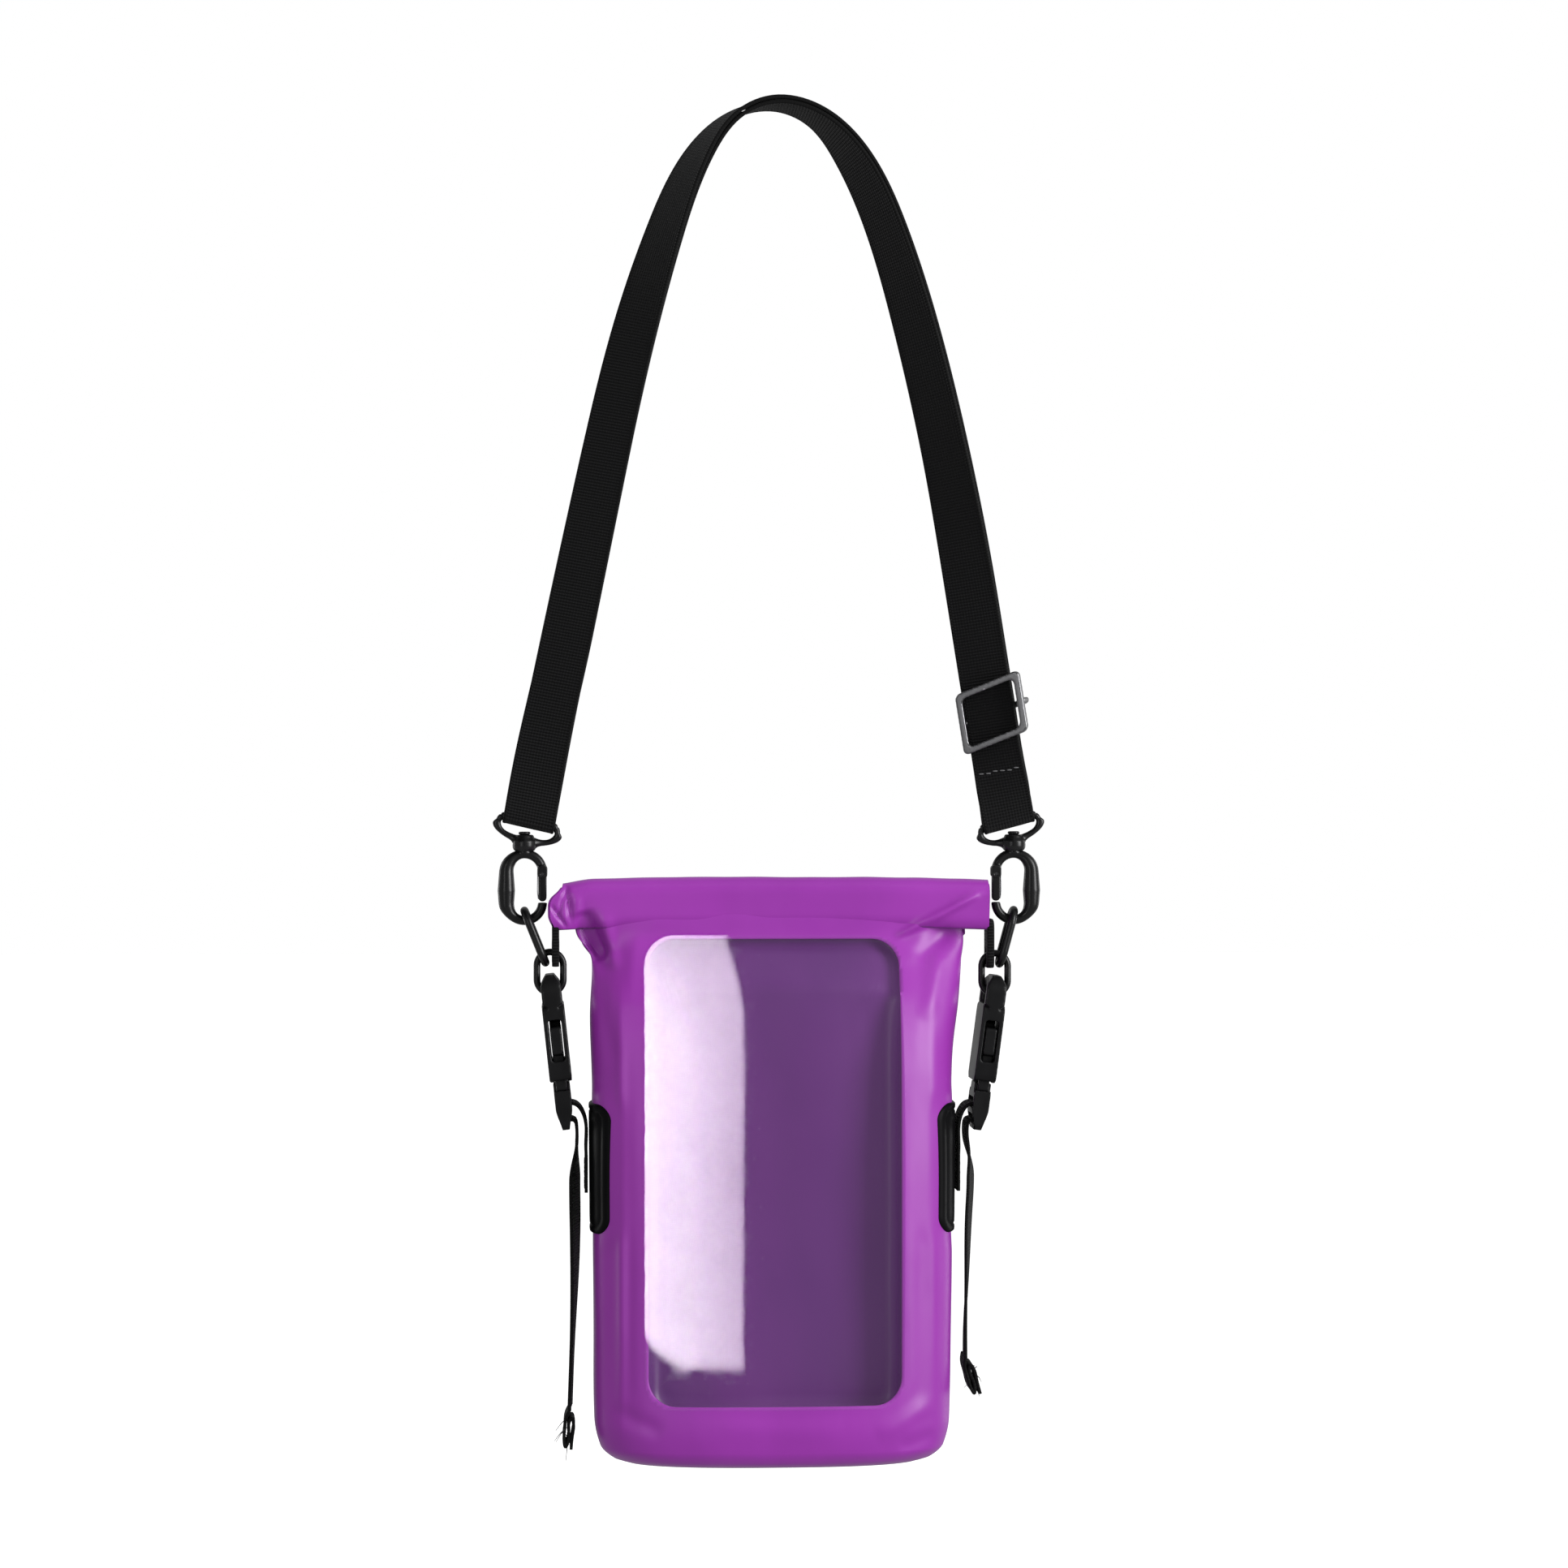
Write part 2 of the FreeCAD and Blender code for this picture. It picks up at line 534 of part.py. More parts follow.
def make_gate(name, pivot, face, inward):
    """Sprung bar that closes the hook, with a leaf spring along its inner face."""
    length = size("gate_length")
    gate = doc.addObject("PartDesign::Body", "Gate_" + name)
    outline = rounded_sketch(gate, "XZ_Plane", "gate_width", "gate_length", "gate_corner",
                             shift=(0, size("gate_width") / 2 - length / 2, 0))
    pad(gate, outline, "gate_thick")
    bore = gate.newObject("Sketcher::SketchObject", gate.Name + "_bore")
    bore.AttachmentSupport = [(origin_plane(gate, "XZ_Plane"), "")]
    bore.MapMode = "FlatFace"
    bore.addGeometry(Part.Circle(Vector(0, 0, 0), Z_AXIS, size("pin_hole") / 2), False)
    bore.addConstraint(Sketcher.Constraint("Coincident", 0, 3, -1, 1))
    measure(bore, "Diameter", "bore", "Dims.pin_hole", 0, size("pin_hole"))
    pocket(gate, bore, "through")
    gate.Placement = Placement(pivot, face)
    keep(gate, "gate_" + name)
    leaf_x = pivot.x - inward * (size("leaf_aside") - size("leaf_thick") / 2) - size("leaf_thick") / 2
    leaf = add("Box", "Leaf_" + name, at(leaf_x, -size("leaf_width") / 2, pivot.z - size("leaf_low")),
               Length="Dims.leaf_thick", Width="Dims.leaf_width", Height="Dims.leaf_low + Dims.leaf_high")
    keep(leaf, "gate_spring_" + name)


def make_links(name, side):
    """Upper link across the hook, leaning inward; lower link facing the front."""
    sign = side["sign"]
    x = swivel_x(side)
    lean = math.radians(side["link_lean"])
    rise = size("hook_wire") / 2 + size("upper_wire") / 2 + size("link_clear")
    top = Vector(x, 0, size("hook_bottom_z") + rise)
    length = size("upper_span") + 2 * size("upper_bend")
    down = Vector(-sign * math.sin(lean), 0, -math.cos(lean))
    bottom = top + down * length
    upper = ring_body("Upper_" + name, "YZ_Plane", "upper_bend", "upper_span", "upper_wire")
    upper.Placement = Placement((top + bottom) * 0.5, Rotation(Y_AXIS, sign * side["link_lean"]))
    keep(upper, "link_upper_" + name)
    aside = size("link_aside")
    bend = size("lower_bend")
    dip = bend - math.sqrt(bend ** 2 - aside ** 2)
    touch = size("upper_wire") / 2 + size("lower_wire") / 2 + size("link_rest")
    lower_x = bottom.x - sign * aside
    lower_top = bottom.z + touch + dip
    arc_z = lower_top - bend
    lower = ring_body("Lower_" + name, "XZ_Plane", "lower_bend", "lower_span", "lower_wire")
    lower.Placement = at(lower_x, 0, arc_z - size("lower_span") / 2)
    keep(lower, "link_lower_" + name)
    make_tab(name, lower_x - sign * size("tab_aside"), arc_z + size("tab_rise"))
    return Vector(lower_x, 0, arc_z - size("lower_span") - bend)


# the middle of each tab in X and Z, for the room that the roll leaves it
tabs = {}


def make_tab(name, x, hole_z):
    """Webbing tab sewn into the roll's end, with an eyelet for the lower link."""
    tab = doc.addObject("PartDesign::Body", "Tab_" + name)
    centre_z = hole_z - size("tab_foot") + size("tab_length") / 2
    outline = rounded_sketch(tab, "YZ_Plane", "tab_width", "tab_length", "tab_corner",
                             shift=(0, centre_z - hole_z, 0))
    pad(tab, outline, "tab_thick")
    hole = new_sketch(tab, "YZ_Plane", (0, 0, 0), "eyelet")
    hole.addGeometry(Part.Circle(Vector(0, 0, 0), Z_AXIS, size("tab_hole") / 2), False)
    hole.addConstraint(Sketcher.Constraint("Coincident", 0, 3, -1, 1))
    measure(hole, "Diameter", "eyelet", "Dims.tab_hole", 0, size("tab_hole"))
    pocket(tab, hole, "through")
    tab.Placement = at(x, 0, hole_z)
    keep(tab, "end_tab_" + name)
    tabs[name] = (x, centre_z)


# ---------------------------------------------------------------- buckles

# X and Z along the free tail of each buckle's webbing, and the lean of its end
TAILS = {
    "left": [(-70.2, -380.0), (-70.3, -400.0), (-71.0, -425.0), (-72.3, -450.0), (-73.0, -470.0)],
    "right": [(70.6, -380.0), (70.3, -400.0), (70.0, -425.0), (70.2, -446.0), (70.2, -452.0)],
}
TAIL_LEANS = {"left": 4.0, "right": -16.0}
# between the end of a tail and the fold below it
FOLD_GAP = 0.75


def make_socket(name, place):
    """Female half: a loop end round the lower link and a hollow housing."""
    body = doc.addObject("PartDesign::Body", "Socket_" + name)
    loop = rounded_sketch(body, "YZ_Plane", "loop_width", "loop_length", "loop_corner",
                          shift=(0, size("bar_half") - size("loop_length") / 2, 0), name="loop")
    pad(body, loop, "loop_thick")
    centre = -size("house_top") - size("socket_length") / 2
    house = rounded_sketch(body, "YZ_Plane", "socket_width", "socket_length", "socket_corner",
                           shift=(0, centre, 0), name="house")
    pad(body, house, "socket_thick")
    slot = rounded_sketch(body, "YZ_Plane", "slot_width", "slot_length", "slot_corner",
                          shift=(0, -size("bar_half") - size("slot_length") / 2, 0), name="slot")
    pocket(body, slot, "through")
    cavity = rounded_sketch(body, "YZ_Plane", "cavity_width", "cavity_length", "cavity_corner",
                            shift=(0, -size("cavity_top") - size("cavity_length") / 2, 0), name="cavity")
    pocket(body, cavity, "cavity_thick")
    window = rounded_sketch(body, "XZ_Plane", "window_thick", "window_length", "window_corner",
                            shift=(0, -size("window_mid"), 0), name="window")
    pocket(body, window, "through")
    body.Placement = place
    keep(body, "buckle_socket_" + name)


def make_plug(name, place):
    """Male half: ladder lock, middle prong and a notch for each arm's root."""
    body = doc.addObject("PartDesign::Body", "Plug_" + name)
    base = rounded_sketch(body, "YZ_Plane", "base_width", "base_length", "base_corner",
                          shift=(0, -size("base_top") - size("base_length") / 2, 0), name="base")
    pad(body, base, "base_thick")
    prong = rounded_sketch(body, "YZ_Plane", "prong_width", "prong_length", "prong_corner",
                           shift=(0, -size("prong_top") - size("prong_length") / 2, 0), name="prong")
    pad(body, prong, "prong_thick")
    for level in ("lock_upper", "lock_lower"):
        slot = rounded_sketch(body, "YZ_Plane", "lock_width", "lock_length", "lock_corner",
                              shift=(0, -size(level), 0), name=level)
        pocket(body, slot, "through")
    for index, end in enumerate((-1, 1)):
        notch = rounded_sketch(body, "YZ_Plane", "notch_width", "notch_length", "notch_corner",
                               shift=(end * size("arm_y"), size("notch_rise") - size("arm_root"), 0),
                               name=f"notch{index}")
        pocket(body, notch, "through")
    body.Placement = place
    keep(body, "buckle_plug_" + name)


def make_arm(name, place, end):
    """Springy arm of the plug, its finger pad filling the housing's side window."""
    face = "front" if end < 0 else "back"
    body = doc.addObject("PartDesign::Body", f"Arm_{name}_{face}")
    stem_low = -size("arm_root") - size("arm_foot")
    stem = rounded_sketch(body, "YZ_Plane", "arm_width", "arm_length", "arm_corner",
                          shift=(end * size("arm_y"), stem_low + size("arm_length") / 2, 0), name="stem")
    pad(body, stem, "arm_thick")
    grip = rounded_sketch(body, "YZ_Plane", "pad_width", "pad_length", "pad_corner",
                          shift=(end * size("grip_y"), -size("grip_mid"), 0), name="grip")
    pad(body, grip, "arm_thick")
    body.Placement = place
    keep(body, f"buckle_arm_{face}_{name}")


def ribbon(points, width, thick):
    """Flat webbing along a route in the front plane, its width along Y."""
    route = Part.makePolygon([Vector(x, 0, z) for x, z in points])
    band = route.makeOffset2D(thick / 2, 0, False, False, False)
    return Part.Face(band).extrude(Vector(0, width, 0)).translated(Vector(0, -width / 2, 0))


def make_buckle(name, side, link_low):
    """Socket, plug and arms on one leaning axis below the lower link."""
    sign = side["sign"]
    bar = link_low + Vector(0, 0, size("lower_wire") / 2 + size("bar_clear") + size("bar_half"))
    place = Placement(bar, Rotation(Y_AXIS, sign * side["buckle_lean"]))
    make_socket(name, place)
    make_plug(name, place)
    for end in (-1, 1):
        make_arm(name, place, end)
    return place


def make_tape(name, side, place):
    """Riser from the side patch to the lock, and the free tail below it."""
    sign = side["sign"]
    lock = place.multVec(Vector(0, 0, -size("lock_upper")))
    low_lock = place.multVec(Vector(0, 0, -size("lock_lower")))
    patch_x = sign * size("riser_x")
    riser = [
        (patch_x, size("riser_low")), (patch_x, size("riser_seam")), (patch_x + sign * 0.8, lock.z - 4.5),
        (lock.x - sign * 4.2, lock.z - 0.3), (lock.x - sign * 0.6, lock.z),
    ]
    shape_part("strap_riser_" + name, ribbon(riser, size("tape_width"), size("tape_thick")))
    tail = [
        (low_lock.x - sign * 0.6, low_lock.z), (low_lock.x - sign * 3.4, low_lock.z - 0.3),
        (low_lock.x - sign * 4.1, low_lock.z - 2.6),
    ] + TAILS[name]
    shape_part("strap_tail_" + name, ribbon(tail, size("tape_width"), size("tape_thick")))
    end_x, end_z = tail[-1]
    lean = TAIL_LEANS[name]
    block = doc.addObject("PartDesign::Body", "TailEnd_" + name)
    outline = rounded_sketch(block, "XZ_Plane", "fold_thick", "fold_length", "fold_corner",
                             shift=(0, -size("fold_length") / 2, 0))
    pad(block, outline, "tape_width")
    block.Placement = Placement(Vector(end_x, 0, end_z - FOLD_GAP), Rotation(Y_AXIS, lean))
    keep(block, "tail_end_" + name)


for side_name, side_data in SIDES.items():
    boss_low = make_eye(side_name, side_data)
    make_hook(side_name, side_data, boss_low)
    link_low = make_links(side_name, side_data)
    buckle_place = make_buckle(side_name, side_data, link_low)
    make_tape(side_name, side_data, buckle_place)

# ---------------------------------------------------------------- the bag

# Height, half width, half depth and roundness of the bag's outline.
GIRTHS = (
    (-489.0, 53.0, 22.5, 2.6), (-487.2, 58.0, 26.0, 2.8), (-483.0, 62.0, 28.4, 3.0),
    (-474.0, 63.9, 29.6, 3.0), (-440.0, 64.6, 30.0, 3.0), (-390.0, 64.9, 30.0, 3.0),
    (-350.0, 65.3, 28.5, 2.9), (-325.0, 66.3, 22.5, 2.7), (-309.0, 68.5, 13.0, 2.5),
    (-299.0, 71.5, 7.5, 2.5),
)


def girth_wire(z, half_width, half_depth, power, points=48):
    """A closed super-ellipse outline at one height."""
    spots = []
    for step in range(points):
        angle = 2 * math.pi * step / points
        across, along = math.cos(angle), math.sin(angle)
        x = math.copysign(abs(across) ** (2 / power), across) * half_width
        y = math.copysign(abs(along) ** (2 / power), along) * half_depth
        spots.append(Vector(x, y, z))
    curve = Part.BSplineCurve()
    curve.interpolate(Points=spots, PeriodicFlag=True)
    return Part.Wire([curve.toShape()])


def bag_solid(grow, overshoot=0.0):
    """The bag's outside, grown or shrunk all round, as one closed loft."""
    wires = []
    for index, (z, half_width, half_depth, power) in enumerate(GIRTHS):
        end = -overshoot if index == 0 else overshoot if index == len(GIRTHS) - 1 else 0.0
        wires.append(girth_wire(z + end, half_width + grow, half_depth + grow, power))
    return Part.makeLoft(wires, True, False)


def slab(role, width, height, corner, centre, near, far):
    """A rounded plate that runs from near to far, as a tool for the film parts."""
    shape = Part.makeBox(width, 1.0, height, Vector(-width / 2, 0, -height / 2))
    shape = shape.makeFillet(corner, [edge for edge in shape.Edges if edge.Length == 1.0])
    grow = FreeCAD.Matrix()
    grow.scale(1.0, far - near, 1.0)
    shape = shape.transformGeometry(grow)
    shape.translate(Vector(0, near, 0))
    if role == "side":
        shape.rotate(Vector(), Z_AXIS, -90)
    shape.translate(centre)
    return shape


# small gaps that keep the welded sheets apart, and how far the tools that cut
# them out reach from the middle plane
PANE_GAP, PATCH_GAP = 0.05, 0.1
SLAB_NEAR, SLAB_FRONT, SLAB_SIDE = 20.0, 60.0, 90.0

film = size("film")
outside = bag_solid(0.0)
inside = bag_solid(-film, 0.8)
window_at = Vector(0, 0, size("window_z"))
seam = size("window_seam")
opening = slab("front", size("window_width") - 2 * seam, size("window_height") - 2 * seam,
               size("window_bend") - seam, window_at, -SLAB_FRONT, 0.0)
shell = outside.cut(inside).cut(opening)
shape_part("bag_shell", shell)

pane_slab = slab("front", size("window_width"), size("window_height"), size("window_bend"),
                 window_at, -SLAB_FRONT, 0.0)
pane = bag_solid(size("window_film") + PANE_GAP, 0.5).cut(bag_solid(PANE_GAP, 1.0)).common(pane_slab)
shape_part("window_pane", pane)

base_z, base_half_width, base_half_depth, base_power = GIRTHS[0]
base_inset = film + PATCH_GAP
base_wire = girth_wire(base_z, base_half_width - base_inset, base_half_depth - base_inset, base_power)
base = Part.Face(base_wire).extrude(Vector(0, 0, film))
shape_part("base_panel", base)

for side_name, side_data in SIDES.items():
    near, far = (SLAB_NEAR, SLAB_SIDE) if side_data["sign"] > 0 else (-SLAB_SIDE, -SLAB_NEAR)
    tool = slab("side", size("patch_width"), size("patch_height"), size("patch_corner"),
                Vector(0, 0, size("patch_z")), near, far)
    patch = bag_solid(size("patch_film") + PATCH_GAP).cut(bag_solid(PATCH_GAP)).common(tool)
    shape_part("side_patch_" + side_name, patch)


def make_pocket():
    """Flat tray behind the window, open to the front and at its top."""
    width, height = size("pocket_width"), size("pocket_height")
    low = size("pocket_bottom_z")
    depth = size("pocket_back_y") - size("pocket_front_y")
    tray = Part.makeBox(width, depth, height, Vector(-width / 2, size("pocket_front_y"), low))
    room = Part.makeBox(width - 2 * film, depth, height,
                        Vector(-width / 2 + film, size("pocket_front_y") - film, low + film))
    shape_part("phone_pocket", tray.cut(room).common(inside))


make_pocket()


TAB_CLEAR = 0.1
STRIP_OFFSET = 0.8


def make_roll():
    """Rolled mouth of the bag, with the two stiffening strips in its core."""
    middle = (size("roll_left") + size("roll_right")) / 2
    body = doc.addObject("PartDesign::Body", "Roll")
    outline = rounded_sketch(body, "YZ_Plane", "roll_depth", "roll_height", "roll_corner")
    pad(body, outline, "roll_length")
    core = rounded_sketch(body, "YZ_Plane", "core_depth", "core_height", "core_corner", name="core")
    pocket(body, core, "roll_reach")
    body.Placement = at(middle, 0, size("roll_z"))
    tools = []
    for name, (x, centre_z) in tabs.items():
        room = doc.addObject("Part::Box", "TabRoom_" + name)
        room.setExpression("Length", f"Dims.tab_thick + {2 * TAB_CLEAR}")
        room.setExpression("Width", f"Dims.tab_width + {2 * TAB_CLEAR}")
        room.setExpression("Height", "Dims.tab_length")
        room.Placement = at(x - size("tab_thick") / 2 - TAB_CLEAR, -size("tab_width") / 2 - TAB_CLEAR,
                            centre_z - size("tab_length") / 2 + TAB_CLEAR)
        tools.append(room)
    keep(cut("RollCut", body, fuse("TabRooms", tools)), "roll_top")
    for node, forward in (("stiffener_front", -STRIP_OFFSET), ("stiffener_back", STRIP_OFFSET)):
        strip = doc.addObject("PartDesign::Body", node + "_body")
        flat = rounded_sketch(strip, "YZ_Plane", "strip_thick", "strip_height", "strip_corner")
        pad(strip, flat, "strip_length")
        strip.Placement = at(middle, forward, size("roll_z"))
        keep(strip, node)


make_roll()

# ---------------------------------------------------------------- check and write

doc.recompute()
for item in doc.Objects:
    if "Invalid" in item.State or "Error" in item.State:
        raise ValueError(f"{item.Name} failed: {item.State}")
for node, item in parts.items():
    if item.Shape.isNull() or not item.Shape.isValid():
        raise ValueError(node + " has no valid shape")
for node, item in parts.items():
    item.Shape.exportStep(f"parts/{node}.step")
print(len(parts), "sub-parts")
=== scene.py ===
from collections import Counter
import json
import math
import random

import bpy
import numpy as np
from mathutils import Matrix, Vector, noise


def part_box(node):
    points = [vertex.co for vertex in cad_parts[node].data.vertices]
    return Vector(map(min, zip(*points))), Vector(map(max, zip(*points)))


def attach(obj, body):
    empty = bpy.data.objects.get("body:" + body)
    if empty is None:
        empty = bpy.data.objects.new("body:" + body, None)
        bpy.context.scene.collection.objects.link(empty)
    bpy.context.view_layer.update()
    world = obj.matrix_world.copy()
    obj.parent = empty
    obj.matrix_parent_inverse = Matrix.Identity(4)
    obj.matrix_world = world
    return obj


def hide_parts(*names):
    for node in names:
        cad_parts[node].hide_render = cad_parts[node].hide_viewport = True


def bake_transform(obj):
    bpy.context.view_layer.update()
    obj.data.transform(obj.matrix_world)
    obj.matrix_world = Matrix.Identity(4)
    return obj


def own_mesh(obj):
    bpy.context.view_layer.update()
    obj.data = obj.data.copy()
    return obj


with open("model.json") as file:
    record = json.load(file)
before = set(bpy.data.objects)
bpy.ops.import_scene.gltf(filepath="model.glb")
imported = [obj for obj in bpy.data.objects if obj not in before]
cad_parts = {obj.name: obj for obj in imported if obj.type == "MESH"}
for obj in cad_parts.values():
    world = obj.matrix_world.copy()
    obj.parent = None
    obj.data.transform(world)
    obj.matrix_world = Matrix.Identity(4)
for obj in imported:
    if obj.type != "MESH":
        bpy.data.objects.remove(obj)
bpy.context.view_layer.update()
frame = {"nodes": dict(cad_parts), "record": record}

# A small roll-top dry bag hanging by its webbing strap. Shapes are worked out
# in millimetres in the row frame and scaled to metres when a mesh is made.
MM = 0.001
rng = random.Random(7)

# ---------------------------------------------------------------- curves and outlines


def spline(knots, values):
    """Natural cubic through the values at the knots, as a function of many places."""
    knots = np.array(knots, float)
    values = np.array(values, float).reshape(len(knots), -1)
    gaps = np.diff(knots)
    system = np.eye(len(knots))
    right = np.zeros_like(values)
    for i in range(1, len(knots) - 1):
        system[i, i - 1:i + 2] = gaps[i - 1], 2 * (gaps[i - 1] + gaps[i]), gaps[i]
        right[i] = 6 * ((values[i + 1] - values[i]) / gaps[i] - (values[i] - values[i - 1]) / gaps[i - 1])
    bend = np.linalg.solve(system, right)

    def value(places):
        places = np.clip(np.atleast_1d(np.asarray(places, float)), knots[0], knots[-1])
        i = np.clip(np.searchsorted(knots, places) - 1, 0, len(knots) - 2)
        left = (knots[i + 1] - places)[:, None]
        past = (places - knots[i])[:, None]
        gap = gaps[i][:, None]
        curve = (bend[i] * left ** 3 + bend[i + 1] * past ** 3) / (6 * gap)
        line = (values[i] / gap - bend[i] * gap / 6) * left
        return curve + line + (values[i + 1] / gap - bend[i + 1] * gap / 6) * past

    return value


def path_lengths(points):
    """How far along a line each of its points is."""
    return np.concatenate([[0.0], np.cumsum(np.linalg.norm(np.diff(points, axis=0), axis=1))])


def heading(line, places):
    """Unit direction of a curve at many places."""
    ahead = line(places + 0.05) - line(places - 0.05)
    return ahead / np.linalg.norm(ahead, axis=1)[:, None]


def unevenness(x, y, z):
    """Slow noise at many places, from about -1 to 1."""
    return np.array([noise.noise(Vector(spot)) for spot in zip(x, y, z)])


def smooth(low, high, value):
    """0 below low, 1 above high, and a soft step between."""
    share = np.clip((np.asarray(value, float) - low) / (high - low), 0, 1)
    return share * share * (3 - 2 * share)


def outline_distance(x, z, width, height, corner):
    """Signed distance to a rounded rectangle about the origin, negative inside."""
    qx = np.abs(x) - (width / 2 - corner)
    qz = np.abs(z) - (height / 2 - corner)
    outside = np.hypot(np.maximum(qx, 0), np.maximum(qz, 0))
    return outside + np.minimum(np.maximum(qx, qz), 0) - corner


def outline_points(width, height, corner, count):
    """Evenly spaced points along a rounded rectangle, starting at the right side's middle."""
    half_x, half_z = width / 2 - corner, height / 2 - corner
    quarter = corner * math.pi / 2
    # straight and curved runs take turns, and the last run ends where the first begins
    runs = [half_z, quarter, 2 * half_x, quarter, 2 * half_z, quarter, 2 * half_x, quarter, half_z]
    ends = np.cumsum([0.0] + runs)
    points = []
    for step in range(count):
        way = ends[-1] * step / count
        run = int(np.searchsorted(ends, way, side="right") - 1)
        past = way - ends[run]
        side = run // 2 % 4
        far, near = (half_x, half_z) if side % 2 == 0 else (half_z, half_x)
        if run % 2:
            out, aside = far + corner * math.cos(past / corner), near + corner * math.sin(past / corner)
        else:
            out, aside = far + corner, past - (near if run else 0.0)
        points.append(((out, aside), (-aside, out), (-out, -aside), (aside, -out))[side])
    return np.array(points)


# ---------------------------------------------------------------- meshes


def make_mesh(name, points, faces, uvs=None):
    """A smooth mesh object from points in millimetres."""
    mesh = bpy.data.meshes.new(name)
    mesh.from_pydata([tuple(p) for p in np.asarray(points, float) * MM], [], faces)
    mesh.validate()
    for face in mesh.polygons:
        face.use_smooth = True
    if uvs is not None:
        layer = mesh.uv_layers.new(name="UVMap")
        for face, corners in zip(mesh.polygons, uvs):
            for loop, uv in zip(face.loop_indices, corners):
                layer.data[loop].uv = uv
    item = bpy.data.objects.new(name, mesh)
    bpy.context.scene.collection.objects.link(item)
    return item


def dress(item, body, slot, material, *nodes):
    """Give a finished piece its finish and body, and hide the CAD nodes that it stands for."""
    item.data.materials.append(material)
    if nodes:
        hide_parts(*nodes)
    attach(item, body)
    return item


def apply_modifiers(item):
    """Turn the modifiers of a piece into its mesh."""
    graph = bpy.context.evaluated_depsgraph_get()
    mesh = bpy.data.meshes.new_from_object(item.evaluated_get(graph))
    item.modifiers.clear()
    item.data = mesh
    for face in mesh.polygons:
        face.use_smooth = True


def thicken(item, thick, offset):
    """Give a sheet its thickness in millimetres, to one side or the other."""
    skin = item.modifiers.new("skin", "SOLIDIFY")
    skin.thickness = thick * MM
    skin.offset = offset
    apply_modifiers(item)


def grid_faces(rows, columns, wrap_rows=False, wrap_columns=False):
    """Quads over a grid of points stored row by row."""
    faces = []
    for r in range(rows if wrap_rows else rows - 1):
        for c in range(columns if wrap_columns else columns - 1):
            r2, c2 = (r + 1) % rows, (c + 1) % columns
            faces.append((r * columns + c, r * columns + c2, r2 * columns + c2, r2 * columns + c))
    return faces


def web_profile(width, thick):
    """Cross-section of woven webbing with rolled edges, as offsets across and out."""
    across = (1.0, 0.988, 0.955, 0.90, 0.84, 0.60, 0.30, 0.0)
    rise = (0.0, 0.66, 1.0, 0.97, 0.84, 0.88, 0.90, 0.90)
    half = [(a * width / 2, n * thick / 2) for a, n in zip(across, rise)]
    top = half + [(-a, n) for a, n in reversed(half[:-1])]
    bottom = [(a, -n) for a, n in reversed(top[1:-1])]
    return np.array(top + bottom)


# Webbing's UV: how far it runs for each millimetre, and where across the cut ends lie.
UV_PER_MM, CUT_END_U = 0.01, 0.97


def sweep(name, centres, acrosses, normals, width, thick, closed=False):
    """Webbing along a line of sections; its UV runs across and along."""
    profile = web_profile(width, thick)
    count = len(profile)
    rows = len(centres)
    points = (centres[:, None, :] + acrosses[:, None, :] * profile[None, :, 0:1]
              + normals[:, None, :] * profile[None, :, 1:2]).reshape(-1, 3)
    ways = path_lengths(centres)
    closing = np.linalg.norm(centres[0] - centres[-1])
    faces, uvs = [], []
    for r in range(rows if closed else rows - 1):
        r2 = (r + 1) % rows
        low = ways[r] * UV_PER_MM
        high = (ways[r2] if r2 else ways[-1] + closing) * UV_PER_MM
        for c in range(count):
            c2 = (c + 1) % count
            faces.append((r * count + c, r * count + c2, r2 * count + c2, r2 * count + c))
            a, b = profile[c, 0] / width + 0.5, profile[c2, 0] / width + 0.5
            uvs.append(((a, low), (b, low), (b, high), (a, high)))
    if not closed:
        for r, order in ((0, 1), (rows - 1, -1)):
            faces.append(tuple(range(r * count, (r + 1) * count))[::order])
            uvs.append(((CUT_END_U, ways[r] * UV_PER_MM),) * count)
    return make_mesh(name, points, faces, uvs)


def flat_sections(route, samples):
    """Sections of webbing along a route in the front plane, its width along Y."""
    route = np.array(route, float)
    ways = path_lengths(route)
    line = spline(ways, route)
    places = np.linspace(0, ways[-1], samples)
    spots, ahead = line(places), heading(line, places)
    centres = np.stack([spots[:, 0], np.zeros(samples), spots[:, 1]], axis=1)
    acrosses = np.tile([0.0, 1.0, 0.0], (samples, 1))
    normals = np.stack([-ahead[:, 1], np.zeros(samples), ahead[:, 0]], axis=1)
    return centres, acrosses, normals


STITCH_SIDES, STITCH_RINGS = 8, 5


def stitch_mesh(name, spots):
    """Many short thread stitches in one mesh: centre, direction, outward, length, width."""
    points, faces = [], []
    for centre, along, out, length, width in spots:
        centre, along, out = Vector(centre), Vector(along).normalized(), Vector(out).normalized()
        side = along.cross(out)
        start = len(points)
        for ring in range(STITCH_RINGS + 1):
            lean = math.pi * ring / STITCH_RINGS
            for turn in range(STITCH_SIDES):
                angle = 2 * math.pi * turn / STITCH_SIDES
                radius = math.sin(lean) ** 0.6 * width / 2
                spot = centre - along * (math.cos(lean) * length / 2)
                spot = spot + side * (math.cos(angle) * radius) + out * (math.sin(angle) * radius)
                points.append(tuple(spot))
        for ring in range(STITCH_RINGS):
            for turn in range(STITCH_SIDES):
                a = start + ring * STITCH_SIDES + turn
                b = start + ring * STITCH_SIDES + (turn + 1) % STITCH_SIDES
                faces.append((a, b, b + STITCH_SIDES, a + STITCH_SIDES))
    return make_mesh(name, points, faces)


STITCH_STEP, STITCH_LENGTH, STITCH_WIDTH = 2.6, 1.8, 0.45


